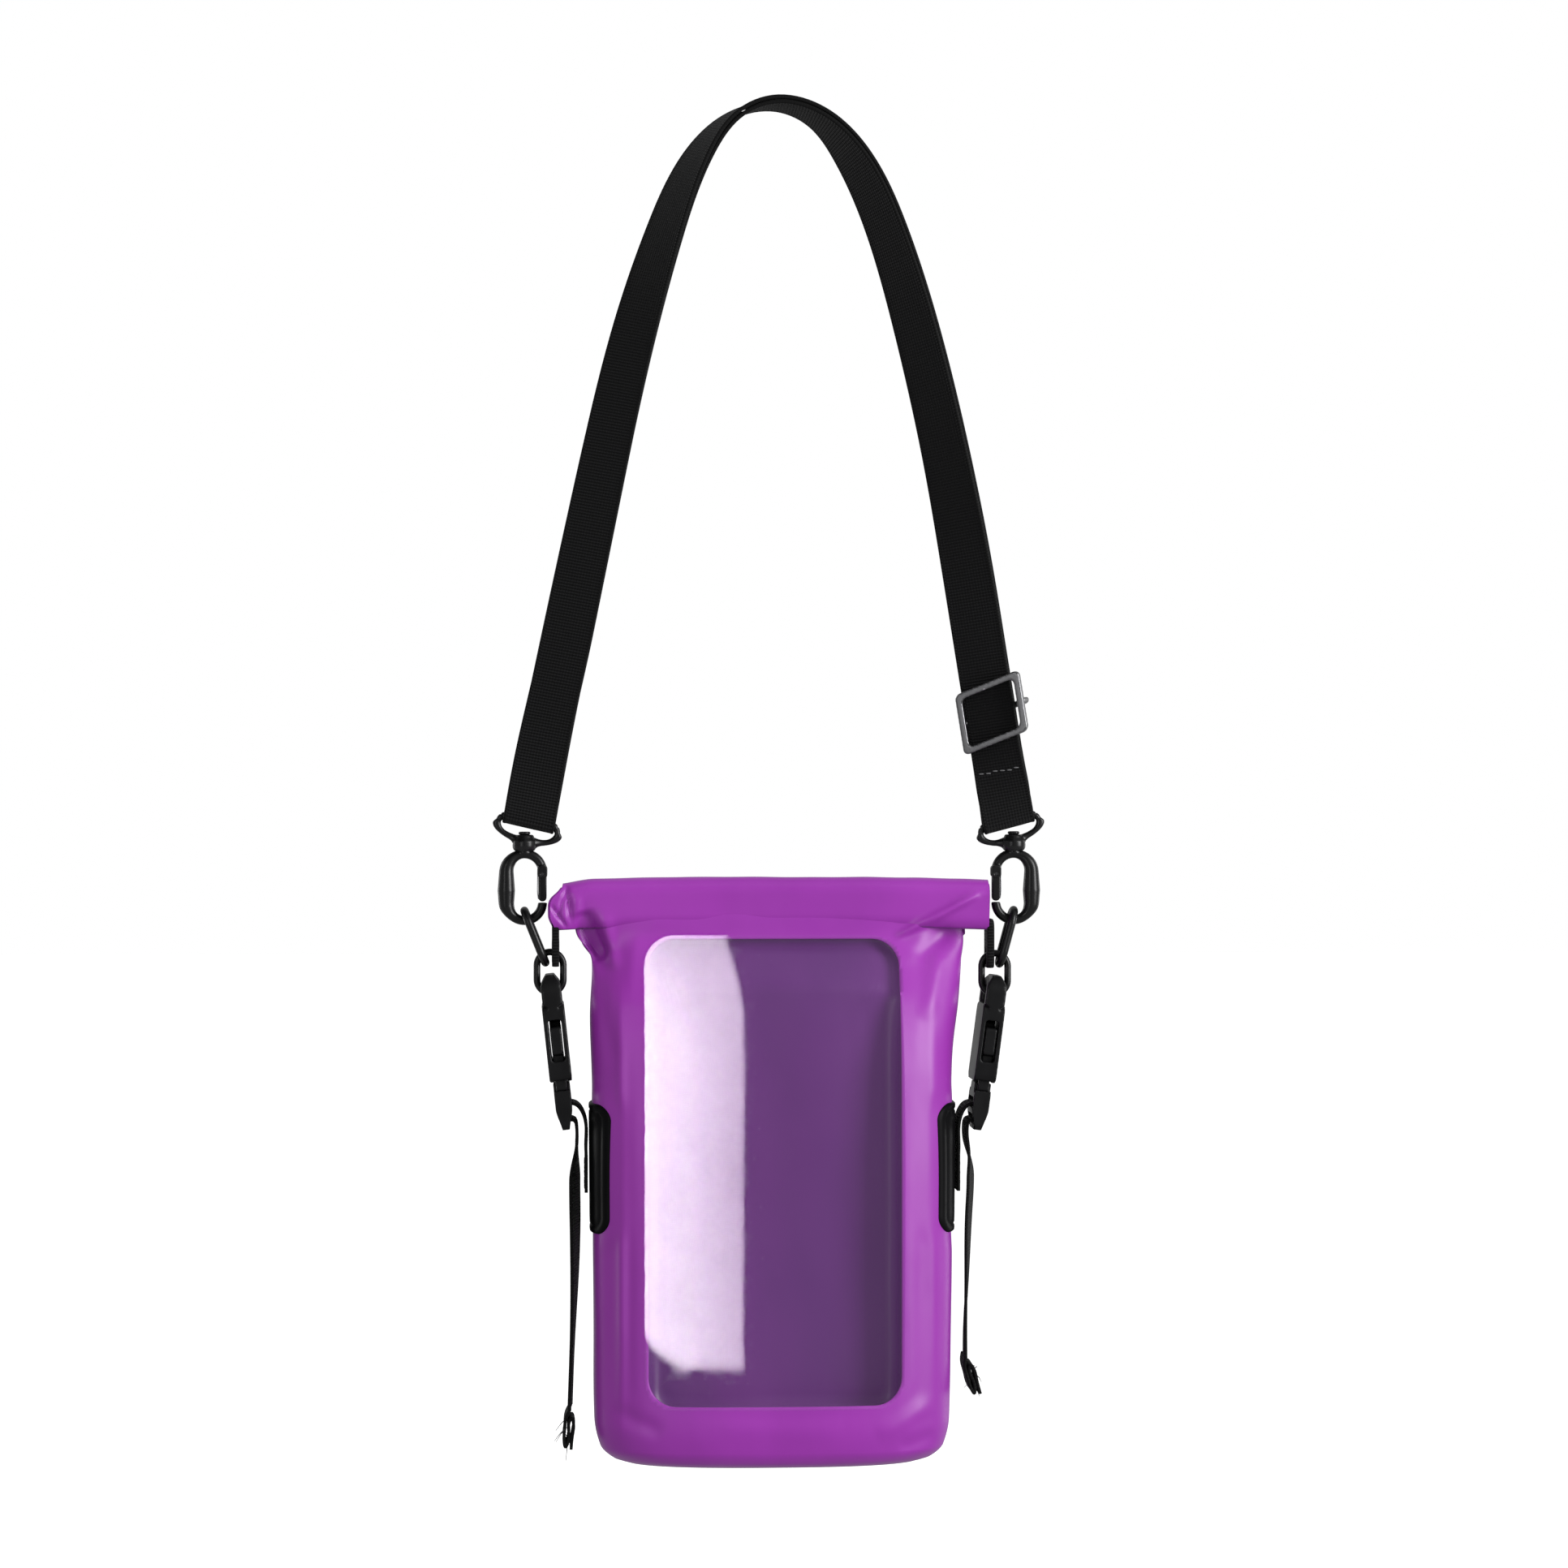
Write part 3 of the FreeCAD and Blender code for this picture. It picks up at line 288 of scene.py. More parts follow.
def stitch_run(start, end, out):
    """Stitches in a row from start to end."""
    start, way = Vector(start), Vector(end) - Vector(start)
    count = max(int(way.length / STITCH_STEP), 1)
    return [(start + way * ((i + 0.5) / count), way.normalized(), out, STITCH_LENGTH, STITCH_WIDTH)
            for i in range(count)]


# ---------------------------------------------------------------- materials


def set_inputs(tree, item, inputs):
    """Give a node's sockets fixed values, or join them to the sockets that feed them."""
    for key, value in inputs.items():
        if isinstance(value, bpy.types.NodeSocket):
            tree.links.new(value, item.inputs[key])
        else:
            item.inputs[key].default_value = value


def add_node(tree, kind, inputs=None, **settings):
    """A node with its settings and inputs."""
    item = tree.nodes.new(kind)
    for key, value in settings.items():
        setattr(item, key, value)
    set_inputs(tree, item, inputs or {})
    return item


def new_material(name, inputs):
    """A material with fixed values on its shader's own sockets."""
    material = bpy.data.materials.new(name)
    material.use_nodes = True
    shader = material.node_tree.nodes["Principled BSDF"]
    set_inputs(material.node_tree, shader, inputs)
    return material, material.node_tree, shader


def colour_steps(tree, source, dark, light, low=0.3, high=0.7):
    """A colour between two colours."""
    ramp = add_node(tree, "ShaderNodeValToRGB", {"Fac": source})
    for element, place, colour in zip(ramp.color_ramp.elements, (low, high), (dark, light)):
        element.position = place
        element.color = (*colour, 1)
    return ramp.outputs["Color"]


def number_steps(tree, source, low, high):
    """A number between two numbers."""
    steps = add_node(tree, "ShaderNodeMapRange", {"Value": source, "To Min": low, "To Max": high})
    return steps.outputs["Result"]


def math_node(tree, operation, *terms):
    return add_node(tree, "ShaderNodeMath", dict(enumerate(terms)), operation=operation).outputs["Value"]


def mix_node(tree, kind, share, first, second):
    """A blend of two colours (kind RGBA) or two numbers (kind FLOAT)."""
    start, result = (6, 2) if kind == "RGBA" else (2, 0)
    inputs = {"Factor": share, start: first, start + 1: second}
    return add_node(tree, "ShaderNodeMix", inputs, data_type=kind).outputs[result]


def place_node(tree, stretch=(1, 1, 1), output="Object"):
    """Texture coordinates that move with the object, stretched on each axis."""
    where = add_node(tree, "ShaderNodeTexCoord").outputs[output]
    return add_node(tree, "ShaderNodeMapping", {"Vector": where, "Scale": stretch}).outputs["Vector"]


def noise_node(tree, place, scale, detail=3.0):
    inputs = {"Vector": place, "Scale": scale, "Detail": detail}
    return add_node(tree, "ShaderNodeTexNoise", inputs).outputs["Fac"]


def bump(tree, shader, height, distance, strength, under=None):
    """Fine relief from a texture, on top of an earlier relief if there is one."""
    inputs = {"Height": height, "Distance": distance, "Strength": strength}
    if under is not None:
        inputs["Normal"] = under
    relief = add_node(tree, "ShaderNodeBump", inputs).outputs["Normal"]
    set_inputs(tree, shader, {"Normal": relief})
    return relief


def coated_fabric(name, dark, light):
    """Smooth coated fabric: soft gloss, slow colour drift, faint ripples and grain."""
    material, tree, shader = new_material(name, {"Specular IOR Level": 0.34, "Coat Weight": 0.07,
                                                 "Coat Roughness": 0.35, "Sheen Weight": 0.05})
    place = place_node(tree, (1.0, 1.0, 0.5))
    set_inputs(tree, shader, {
        "Base Color": colour_steps(tree, noise_node(tree, place, 18.0), dark, light),
        "Roughness": number_steps(tree, noise_node(tree, place, 55.0), 0.36, 0.48),
    })
    ripples = bump(tree, shader, noise_node(tree, place, 70.0, 2.0), 0.0009, 0.35)
    bump(tree, shader, noise_node(tree, place, 1500.0, 2.0), 0.00002, 0.15, ripples)
    return material


def webbing(name, dark, light):
    """Black woven webbing: crosswise ribs, fine warp threads and smooth rolled edges."""
    material, tree, shader = new_material(name, {"Specular IOR Level": 0.14, "Sheen Weight": 0.02})
    lay = place_node(tree, output="UV")
    rib, warp = (
        add_node(tree, "ShaderNodeTexWave", {"Vector": lay, "Scale": scale, "Distortion": wander,
                                             "Detail": 1.0, "Detail Scale": fine},
                 bands_direction=way).outputs["Fac"]
        for way, scale, wander, fine in (("Y", 29.0, 0.4, 3.0), ("X", 5.5, 0.8, 1.0)))
    weave = math_node(tree, "MULTIPLY_ADD", warp, 0.25, rib)
    # the rolled edges are darker and have no ribs
    across = add_node(tree, "ShaderNodeSeparateXYZ", {"Vector": lay}).outputs["X"]
    edge = math_node(tree, "ABSOLUTE", math_node(tree, "SUBTRACT", across, 0.5))
    rolled = add_node(tree, "ShaderNodeMapRange", {"Value": edge, "From Min": 0.43, "From Max": 0.46})
    rolled = rolled.outputs["Result"]
    woven, plain = colour_steps(tree, weave, dark, light, 0.1, 1.0), (*(0.5 * c for c in dark), 1)
    set_inputs(tree, shader, {"Base Color": mix_node(tree, "RGBA", rolled, woven, plain),
                              "Roughness": number_steps(tree, weave, 0.62, 0.82)})
    bump(tree, shader, mix_node(tree, "FLOAT", rolled, weave, 0.7), 0.0006, 1.0)
    return material


def worn_metal(name, dark, edge_wear_and_highlight, rough_low, rough_high, metallic):
    """Coated metal, lighter at its pointed edges, with a slightly uneven gloss: the lighter edges are rubbed
    wear on the hooks and spring, and a painted highlight on the slider.
    """
    material, tree, shader = new_material(name, {"Metallic": metallic})
    place = place_node(tree)
    rub = noise_node(tree, place, 420.0)
    edges = add_node(tree, "ShaderNodeNewGeometry").outputs["Pointiness"]
    # pointed edges take the lighter colour: rubbed wear, and on the slider a painted highlight
    edge_wear_and_highlight_mask = math_node(tree, "MULTIPLY_ADD", rub, 0.025, edges)
    set_inputs(tree, shader, {
        "Base Color": colour_steps(tree, edge_wear_and_highlight_mask, dark, edge_wear_and_highlight, 0.53, 0.64),
        "Roughness": number_steps(tree, noise_node(tree, place, 150.0, 2.0), rough_low, rough_high),
    })
    bump(tree, shader, rub, 0.00006, 0.5)
    return material


def fine_grained(name, dark, light, rough_low, rough_high, grain, specular=0.16):
    """Moulded plastic, film or thread with a fine even grain."""
    material, tree, shader = new_material(name, {"Specular IOR Level": specular})
    place = place_node(tree)
    cloud = noise_node(tree, place, 90.0, 2.0)
    set_inputs(tree, shader, {"Base Color": colour_steps(tree, cloud, dark, light),
                              "Roughness": number_steps(tree, cloud, rough_low, rough_high)})
    bump(tree, shader, noise_node(tree, place, 2200.0, 2.0), grain, 0.4)
    return material


def clear_film(name):
    """Glossy see-through film with a faint haze and slow ripples."""
    material, tree, shader = new_material(name, {"Roughness": 0.04, "IOR": 1.9, "Specular IOR Level": 1.0})
    place = place_node(tree, (1, 1, 0.4))
    haze = noise_node(tree, place, 24.0)
    set_inputs(tree, shader, {"Base Color": colour_steps(tree, haze, (0.26, 0.12, 0.34), (0.34, 0.18, 0.42)),
                              "Alpha": number_steps(tree, haze, 0.05, 0.07)})
    bump(tree, shader, noise_node(tree, place, 30.0, 1.0), 0.0004, 0.03)
    return material


fabric = coated_fabric("coated_purple_fabric", (0.215, 0.016, 0.27), (0.255, 0.022, 0.315))
# the bag's purple fabric made much darker: painted shade for the inside of the pocket behind the window
sleeve = coated_fabric("sleeve_fabric_painted_shade", (0.07, 0.011, 0.11), (0.10, 0.016, 0.145))
black_web = webbing("black_webbing", (0.0018, 0.0018, 0.002), (0.0065, 0.0065, 0.007))
hook_metal = worn_metal("black_coated_metal", (0.006, 0.006, 0.0065), (0.03, 0.03, 0.032), 0.26, 0.36, 0.5)
# the slider's light edge colour is a painted highlight along its rims
slider_metal_painted_highlight = worn_metal("slider_metal_painted_highlight", (0.14, 0.14, 0.145), (0.55, 0.55, 0.57), 0.26, 0.36, 1.0)
spring_metal = worn_metal("spring_steel", (0.20, 0.20, 0.21), (0.45, 0.45, 0.46), 0.22, 0.34, 1.0)
plastic = fine_grained("black_buckle_plastic", (0.003, 0.003, 0.0034), (0.006, 0.006, 0.0065), 0.3, 0.4,
                       0.00005)
patch_black = fine_grained("black_patch_film", (0.002, 0.002, 0.0023), (0.0035, 0.0035, 0.004), 0.38, 0.46,
                           0.00003, specular=0.04)
strip_black = fine_grained("stiffening_strip", (0.02, 0.02, 0.022), (0.035, 0.035, 0.037), 0.5, 0.6, 0.00006)
thread_grey = fine_grained("grey_thread", (0.10, 0.10, 0.105), (0.17, 0.17, 0.175), 0.6, 0.75, 0.00008)
thread_black = fine_grained("black_thread", (0.012, 0.012, 0.013), (0.03, 0.03, 0.032), 0.6, 0.75, 0.00008)
film_clear = clear_film("clear_window_film")

# ---------------------------------------------------------------- the strap

# X, Z and how far the strap's width has turned out of the front plane, in degrees.
STRAP_ROUTE = (
    (-87.6, -258.0, 0), (-86.2, -250.0, 1), (-83.6, -236.0, 9), (-75.7, -197.0, 18),
    (-63.1, -137.0, 24), (-49.4, -78.5, 35), (-39.0, -45.0, 48), (-25.6, -15.5, 65),
    (-13.6, -2.9, 80), (0.8, 1.6, 90), (15.6, -2.9, 100), (27.8, -15.5, 116),
    (42.0, -45.0, 128), (52.2, -78.5, 136), (65.6, -137.0, 146), (73.2, -180.0, 157),
    (76.41, -200.0, 157), (79.31, -218.0, 157), (82.2, -236.0, 157), (83.4, -243.0, 163),
    (84.6, -250.0, 173), (85.8, -258.0, 180),
)
SIDES = {
    "left": {"sign": -1, "eye_tilt": 13.0, "bar": (-80.178, -315.714), "lean": 6.2},
    "right": {"sign": 1, "eye_tilt": 15.0, "bar": (80.994, -316.497), "lean": 7.5},
}
STRAP_WIDTH, STRAP_PLY = 19.0, 1.5
# Half the gap between the two layers' middles, along the strap and at the eyes.
LAYER_REST, LAYER_WIDE = 0.875, 2.45
SKEW_LENGTH, PART_START, PART_SPAN = 20.0, 2.0, 20.0

strap_spots = np.array([(x, z) for x, z, turn in STRAP_ROUTE])
strap_ways = path_lengths(strap_spots)
strap_line = spline(strap_ways, strap_spots)
strap_twist = spline(strap_ways, [turn for x, z, turn in STRAP_ROUTE])
STRAP_END = strap_ways[-1]


def strap_sections(ways):
    """Centres, width axes, outward normals and directions of the strap at many places."""
    ways = np.asarray(ways, float)
    spots, ahead = strap_line(ways), heading(strap_line, ways)
    left = ways < STRAP_END / 2
    up = np.where(left[:, None], ahead, -ahead)
    lean = np.arctan2(up[:, 0], up[:, 1])
    tilt = np.radians(np.where(left, SIDES["left"]["eye_tilt"], -SIDES["right"]["eye_tilt"]))
    nearest = np.minimum(ways, STRAP_END - ways)
    skew = np.clip(1 - nearest / SKEW_LENGTH, 0, 1) ** 2 * (tilt - lean)
    turned_x = ahead[:, 0] * np.cos(skew) + ahead[:, 1] * np.sin(skew)
    turned_z = ahead[:, 1] * np.cos(skew) - ahead[:, 0] * np.sin(skew)
    zero = np.zeros(len(ways))
    tangent = np.stack([turned_x, zero, turned_z], axis=1)
    level = np.stack([turned_z, zero, -turned_x], axis=1)
    angle = np.radians(strap_twist(ways)[:, 0])
    across = level * np.cos(angle)[:, None]
    across[:, 1] = -np.sin(angle)
    normal = np.cross(tangent, across)
    centre = np.stack([spots[:, 0], zero, spots[:, 1]], axis=1)
    share = 1 - np.clip((nearest - PART_START) / PART_SPAN, 0, 1)
    spread = LAYER_REST + (LAYER_WIDE - LAYER_REST) * share ** 2
    return centre, across, normal, tangent, spread


def make_strap():
    """One band that runs over the top, round the right eye, back and round the left eye."""
    ways = np.linspace(0, STRAP_END, 280)
    centre, across, normal, tangent, spread = strap_sections(ways)
    outer = centre + normal * spread[:, None]
    # the second layer lies a little to one side on the left leg
    aside = 0.9 * smooth(20, 70, ways) * (1 - smooth(230, 300, ways))
    inner = centre - normal * spread[:, None] + across * aside[:, None]
    rows = [(outer, across, normal)]
    swing = np.linspace(0, math.pi, 12)[1:-1]
    for end, down in ((-1, tangent[-1]), (0, -tangent[0])):
        start = normal[end] if end else -normal[end]
        out = start[None, :] * np.cos(swing)[:, None] + down[None, :] * np.sin(swing)[:, None]
        ring = centre[end][None, :] + out * LAYER_WIDE
        rows.append((ring, np.tile(across[end], (len(swing), 1)), out))
        if end:
            rows.append((inner[::-1], across[::-1], -normal[::-1]))
    centres, acrosses, normals = (np.concatenate([row[i] for row in rows]) for i in range(3))
    item = sweep("strap_webbing", centres, acrosses, normals, STRAP_WIDTH, STRAP_PLY, closed=True)
    dress(item, "strap", "webbing", black_web, "strap_outer_layer", "strap_inner_layer",
          "strap_turn_left", "strap_turn_right")


STITCH_RISE, STITCH_PITCH, STITCH_COUNT = 18.0, 2.65, 6


def make_strap_stitches():
    """A row on the front face above the right eye and one on the back, both drawn in grey thread, though the
    back row is black.
    """
    centre, across, normal, tangent, spread = strap_sections([STRAP_END - STITCH_RISE])
    centre, across, normal, tangent = centre[0], across[0], normal[0], tangent[0]
    lift = spread[0] + STRAP_PLY / 2 * 0.9
    spots = []
    for face in (1, -1):
        for count in range(STITCH_COUNT):
            aside = (count - (STITCH_COUNT - 1) / 2) * STITCH_PITCH
            spot = centre + across * aside + normal * (face * lift)
            wander = tangent * (0.25 * math.sin(count * 2.1))
            spots.append((spot + wander, across + tangent * 0.12, normal * face, 1.9, 0.5))
    item = stitch_mesh("strap_stitches", spots)
    dress(item, "strap", "thread", thread_grey, "strap_stitching")


make_strap()
make_strap_stitches()

# ---------------------------------------------------------------- the bag's outline

# Height, half width, half depth and roundness.
GIRTHS = (
    (-489.0, 53.0, 22.5, 2.6), (-487.2, 58.0, 26.0, 2.8), (-483.0, 62.0, 28.4, 3.0),
    (-474.0, 63.9, 29.6, 3.0), (-440.0, 64.6, 30.0, 3.0), (-390.0, 64.9, 30.0, 3.0),
    (-350.0, 65.3, 28.5, 2.9), (-325.0, 66.3, 22.5, 2.7), (-309.0, 68.5, 13.0, 2.5),
    (-299.0, 71.5, 7.5, 2.5), (-293.0, 71.0, 6.9, 3.0), (-287.0, 70.0, 5.4, 3.4),
)
WINDOW_Z, WINDOW_WIDTH, WINDOW_HEIGHT, WINDOW_BEND, WINDOW_SEAM = -383.5, 93.0, 168.0, 11.0, 1.2
PATCH_Z, PATCH_WIDTH, PATCH_HEIGHT, PATCH_BEND = -383.0, 38.0, 46.5, 6.0


def girth_slopes():
    """Slopes at each girth that keep the outline from swelling between girths."""
    levels = np.array([row[0] for row in GIRTHS])
    values = np.array([row[1:] for row in GIRTHS])
    rates = np.diff(values, axis=0) / np.diff(levels)[:, None]
    slopes = np.zeros_like(values)
    slopes[0], slopes[-1] = rates[0], rates[-1]
    before, after = rates[:-1], rates[1:]
    same = before * after > 0
    total = np.where(same, before + after, 1.0)
    slopes[1:-1] = np.where(same, 2 * before * after / total, 0.0)
    return levels, values, slopes


girth_levels, girth_values, girth_rates = girth_slopes()


def girth(z):
    """Half width, half depth and roundness at heights z."""
    z = np.clip(np.asarray(z, float), girth_levels[0], girth_levels[-1])
    i = np.clip(np.searchsorted(girth_levels, z) - 1, 0, len(girth_levels) - 2)
    gap = girth_levels[i + 1] - girth_levels[i]
    t = ((z - girth_levels[i]) / gap)[..., None]
    gap = gap[..., None]
    value = ((1 + 2 * t) * (1 - t) ** 2 * girth_values[i] + t * (1 - t) ** 2 * gap * girth_rates[i]
             + t * t * (3 - 2 * t) * girth_values[i + 1] + t * t * (t - 1) * gap * girth_rates[i + 1])
    return value[..., 0], value[..., 1], value[..., 2]


def front_depth(x, z):
    """Distance of the bag's front surface from the middle plane."""
    half_width, half_depth, power = girth(z)
    share = np.clip(1 - np.abs(x / half_width) ** power, 0, 1)
    return half_depth * share ** (1 / power)


def side_reach(y, z):
    """Distance of the bag's side surface from the middle plane."""
    half_width, half_depth, power = girth(z)
    share = np.clip(1 - np.abs(y / half_depth) ** power, 0, 1)
    return half_width * share ** (1 / power)


# Soft creases of the fabric: where they start and end (X, Z), width and rise.
FRONT_FOLDS = (
    ((-69.5, -290), (-63, -309), 3.3, -6.6), ((-61, -292), (-57.5, -312), 2.6, 1.3),
    ((-74.6, -279), (-72.4, -297), 0.7, -1.3), ((-80, -287.5), (-73.5, -296.5), 0.7, -1.2),
    ((-74.5, -281), (-77.6, -292), 0.7, -0.8), ((-71, -284), (-69.5, -296), 1.6, 0.9),
    ((-64, -312), (-58, -345), 3.0, -0.7), ((-54.7, -318), (-54.7, -476), 1.7, 0.75),
    ((-58.5, -330), (-59, -470), 2.6, -0.55), ((75, -283.5), (44, -300.5), 1.5, 2.2),
    ((66, -297), (52, -309), 3.6, -1.2), ((60, -306), (54, -330), 3.2, 0.9),
    ((56.5, -318), (57.5, -474), 2.4, 0.5), ((-40, -476), (-58, -468), 3.0, -0.6),
    ((36, -477), (57, -466), 3.4, 0.7), ((44, -482), (58, -478), 2.6, -0.6),
    ((-20, -474), (24, -475), 4.0, 0.35),
)
BACK_FOLDS = (
    ((-60, -300), (-30, -342), 4.5, -1.6), ((-70, -298), (-48, -325), 3.0, 1.2),
    ((58, -300), (34, -345), 4.5, -1.5), ((70, -298), (50, -322), 3.0, 1.3),
    ((-8, -298), (-14, -352), 4.0, 1.0), ((12, -298), (20, -340), 3.5, -1.0),
    ((-50, -350), (-53, -470), 3.0, 0.9), ((50, -345), (54, -472), 3.0, 0.8),
    ((-30, -470), (22, -474), 6.0, -0.8), ((-20, -380), (26, -410), 12.0, -1.2),
    ((-34, -430), (10, -448), 9.0, 0.9),
)


def fold_rise(x, z, folds):
    """How far the creases lift the fabric at places seen from the front or back."""
    rise = np.zeros_like(x)
    for (ax, az), (bx, bz), width, height in folds:
        dx, dz = bx - ax, bz - az
        along = ((x - ax) * dx + (z - az) * dz) / (dx * dx + dz * dz)
        held = np.clip(along, 0, 1)
        distance = np.hypot(x - ax - held * dx, z - az - held * dz)
        ends = np.clip(1.12 - np.abs(2 * held - 1) ** 3, 0, 1)
        rise += height * ends * np.exp(-(distance / width) ** 2)
    return rise


def fabric_rise(x, y, z):
    """Creases and slow unevenness of the bag's skin, none where film or patch is welded."""
    front = 1 - smooth(-4, 2, y)
    rise = (front * np.maximum(fold_rise(x, z, FRONT_FOLDS), -3.4)
            + (1 - front) * fold_rise(x, z, BACK_FOLDS))
    rise += 0.8 * unevenness(x * 0.045, y * 0.045, z * 0.018)
    # the neck is drawn in under the roll's left end
    spread = np.where(z > -306.0, 6.0, 14.0)
    rise -= 3.6 * np.exp(-((z + 306.0) / spread) ** 2) * smooth(48.0, 62.0, -x)
    # and hangs straighter on the right
    right = smooth(52.0, 64.0, x)
    rise += right * (1.3 * np.exp(-((z + 322.0) / 13.0) ** 2) - 2.2 * np.exp(-((z + 298.0) / 7.0) ** 2))
    film = outline_distance(x, z - WINDOW_Z, WINDOW_WIDTH, WINDOW_HEIGHT, WINDOW_BEND)
    rise *= np.where(y < 0, smooth(0.5, 6.0, film), 1.0)
    patch = outline_distance(y, z - PATCH_Z, PATCH_WIDTH, PATCH_HEIGHT, PATCH_BEND)
    rise *= np.where(np.abs(x) > 50, smooth(0.5, 8.0, patch), 1.0)
    return rise * smooth(-488.5, -482.0, z)


RING_POINTS = 330


def oval(angles, half_width, half_depth, power):
    """X and Y of a rounded oval at angles round its middle."""
    cos, sin = np.cos(angles), np.sin(angles)
    return (np.sign(cos) * np.abs(cos) ** (2 / power) * half_width,
            np.sign(sin) * np.abs(sin) ** (2 / power) * half_depth)


def ring_angles():
    """Angles that space points evenly round the bag's middle girth."""
    angles = np.linspace(0, 2 * math.pi, 4001)
    ways = path_lengths(np.stack(oval(angles, 64.9, 30.0, 3.0), axis=1))
    return np.interp(np.linspace(0, ways[-1], RING_POINTS, endpoint=False), ways, angles)


def fit_to_outline(spots, outline):
    """Move points of the skin on to an outline on the bag's front."""
    x, z = spots[:, 0], spots[:, 2] - WINDOW_Z
    nudge = 0.01
    for step in range(2):
        gap = outline_distance(x, z, *outline)
        slope_x = outline_distance(x + nudge, z, *outline) - outline_distance(x - nudge, z, *outline)
        slope_z = outline_distance(x, z + nudge, *outline) - outline_distance(x, z - nudge, *outline)
        x, z = x - gap * slope_x / (2 * nudge), z - gap * slope_z / (2 * nudge)
    return np.stack([x, -front_depth(x, z + WINDOW_Z), z + WINDOW_Z], axis=1)


def make_body():
    """The bag's skin: one closed tube with its base, open behind the window."""
    angles = ring_angles()
    foot = GIRTHS[0][0]
    levels = np.concatenate([np.arange(foot, -483.0, 0.8), np.arange(-483.0, -325.0, 1.3),
                             np.arange(-325.0, -286.9, 0.8)])
    rows = []
    # the base: how much of the foot's outline, and how far above it
    for share, dip in ((0.002, 0.9), (0.35, 0.9), (0.7, 0.8), (0.86, 0.6), (0.91, 0.2), (0.93, 0.55),
                       (0.96, 0.1)):
        x, y = oval(angles, *girth(foot))
        rows.append(np.stack([x * share, y * share, np.full_like(x, foot + dip)], axis=1))
    for level in levels:
        half_width, half_depth, power = girth(level)
        x, y = oval(angles, half_width, half_depth, power)
        z = np.full_like(x, level)
        out_x = np.sign(x) * np.abs(x / half_width) ** (power - 1) / half_width
        out_y = np.sign(y) * np.abs(y / half_depth) ** (power - 1) / half_depth
        rise = fabric_rise(x, y, z) / np.hypot(out_x, out_y)
        rows.append(np.stack([x + out_x * rise, y + out_y * rise, z], axis=1))
    points = np.concatenate(rows)
    hole = (WINDOW_WIDTH - 2 * WINDOW_SEAM, WINDOW_HEIGHT - 2 * WINDOW_SEAM, WINDOW_BEND - WINDOW_SEAM)
    faces = grid_faces(len(rows), RING_POINTS, wrap_columns=True)
    x, y, z = points[np.array(faces)].mean(axis=1).T
    gone = (y < 0) & (outline_distance(x, z - WINDOW_Z, *hole) < 0)
    kept = [face for face, cut in zip(faces, gone) if not cut]
    uses = Counter(tuple(sorted(edge)) for face in kept for edge in zip(face, face[1:] + face[:1]))
    top_row = (len(rows) - 1) * RING_POINTS
    rim = sorted({i for edge in uses if uses[edge] == 1 for i in edge if RING_POINTS <= i < top_row})
    points[rim] = fit_to_outline(points[rim], hole)
    item = make_mesh("bag_body", points, kept)
    thicken(item, 0.9, -1)
    dress(item, "bag", "coated_fabric", fabric, "bag_shell", "base_panel")


make_body()

# ---------------------------------------------------------------- the rolled mouth

ROLL_LEFT, ROLL_RIGHT, ROLL_Z = -80.2, 78.4, -288.0
ROLL_HALF_DEPTH, ROLL_HALF_HEIGHT, ROLL_BEND = 7.0, 10.0, 5.4
ROLL_TURNS, ROLL_PITCH, ROLL_SHEET = 3.0, 1.45, 1.1


def spiral_profile():
    """Centre line of the rolled sheet in Y and Z, from the front's foot to the core."""
    per_turn = 64
    line = []
    for step in range(int(ROLL_TURNS * per_turn) + 1):
        turns = step / per_turn
        shrink = ROLL_PITCH * turns + ROLL_SHEET / 2
        half_depth = max(ROLL_HALF_DEPTH - shrink, 0.5)
        half_height = max(ROLL_HALF_HEIGHT - shrink, 0.5)
        bend = min(ROLL_BEND, half_depth * 0.98)
        ring = outline_points(2 * half_depth, 2 * half_height, bend, per_turn)
        # start at the front's lower edge and climb the front first
        place = (per_turn * 0.66 - step) % per_turn
        low = int(place)
        share = place - low
        line.append(ring[low % per_turn] * (1 - share) + ring[(low + 1) % per_turn] * share)
    return np.array(line)


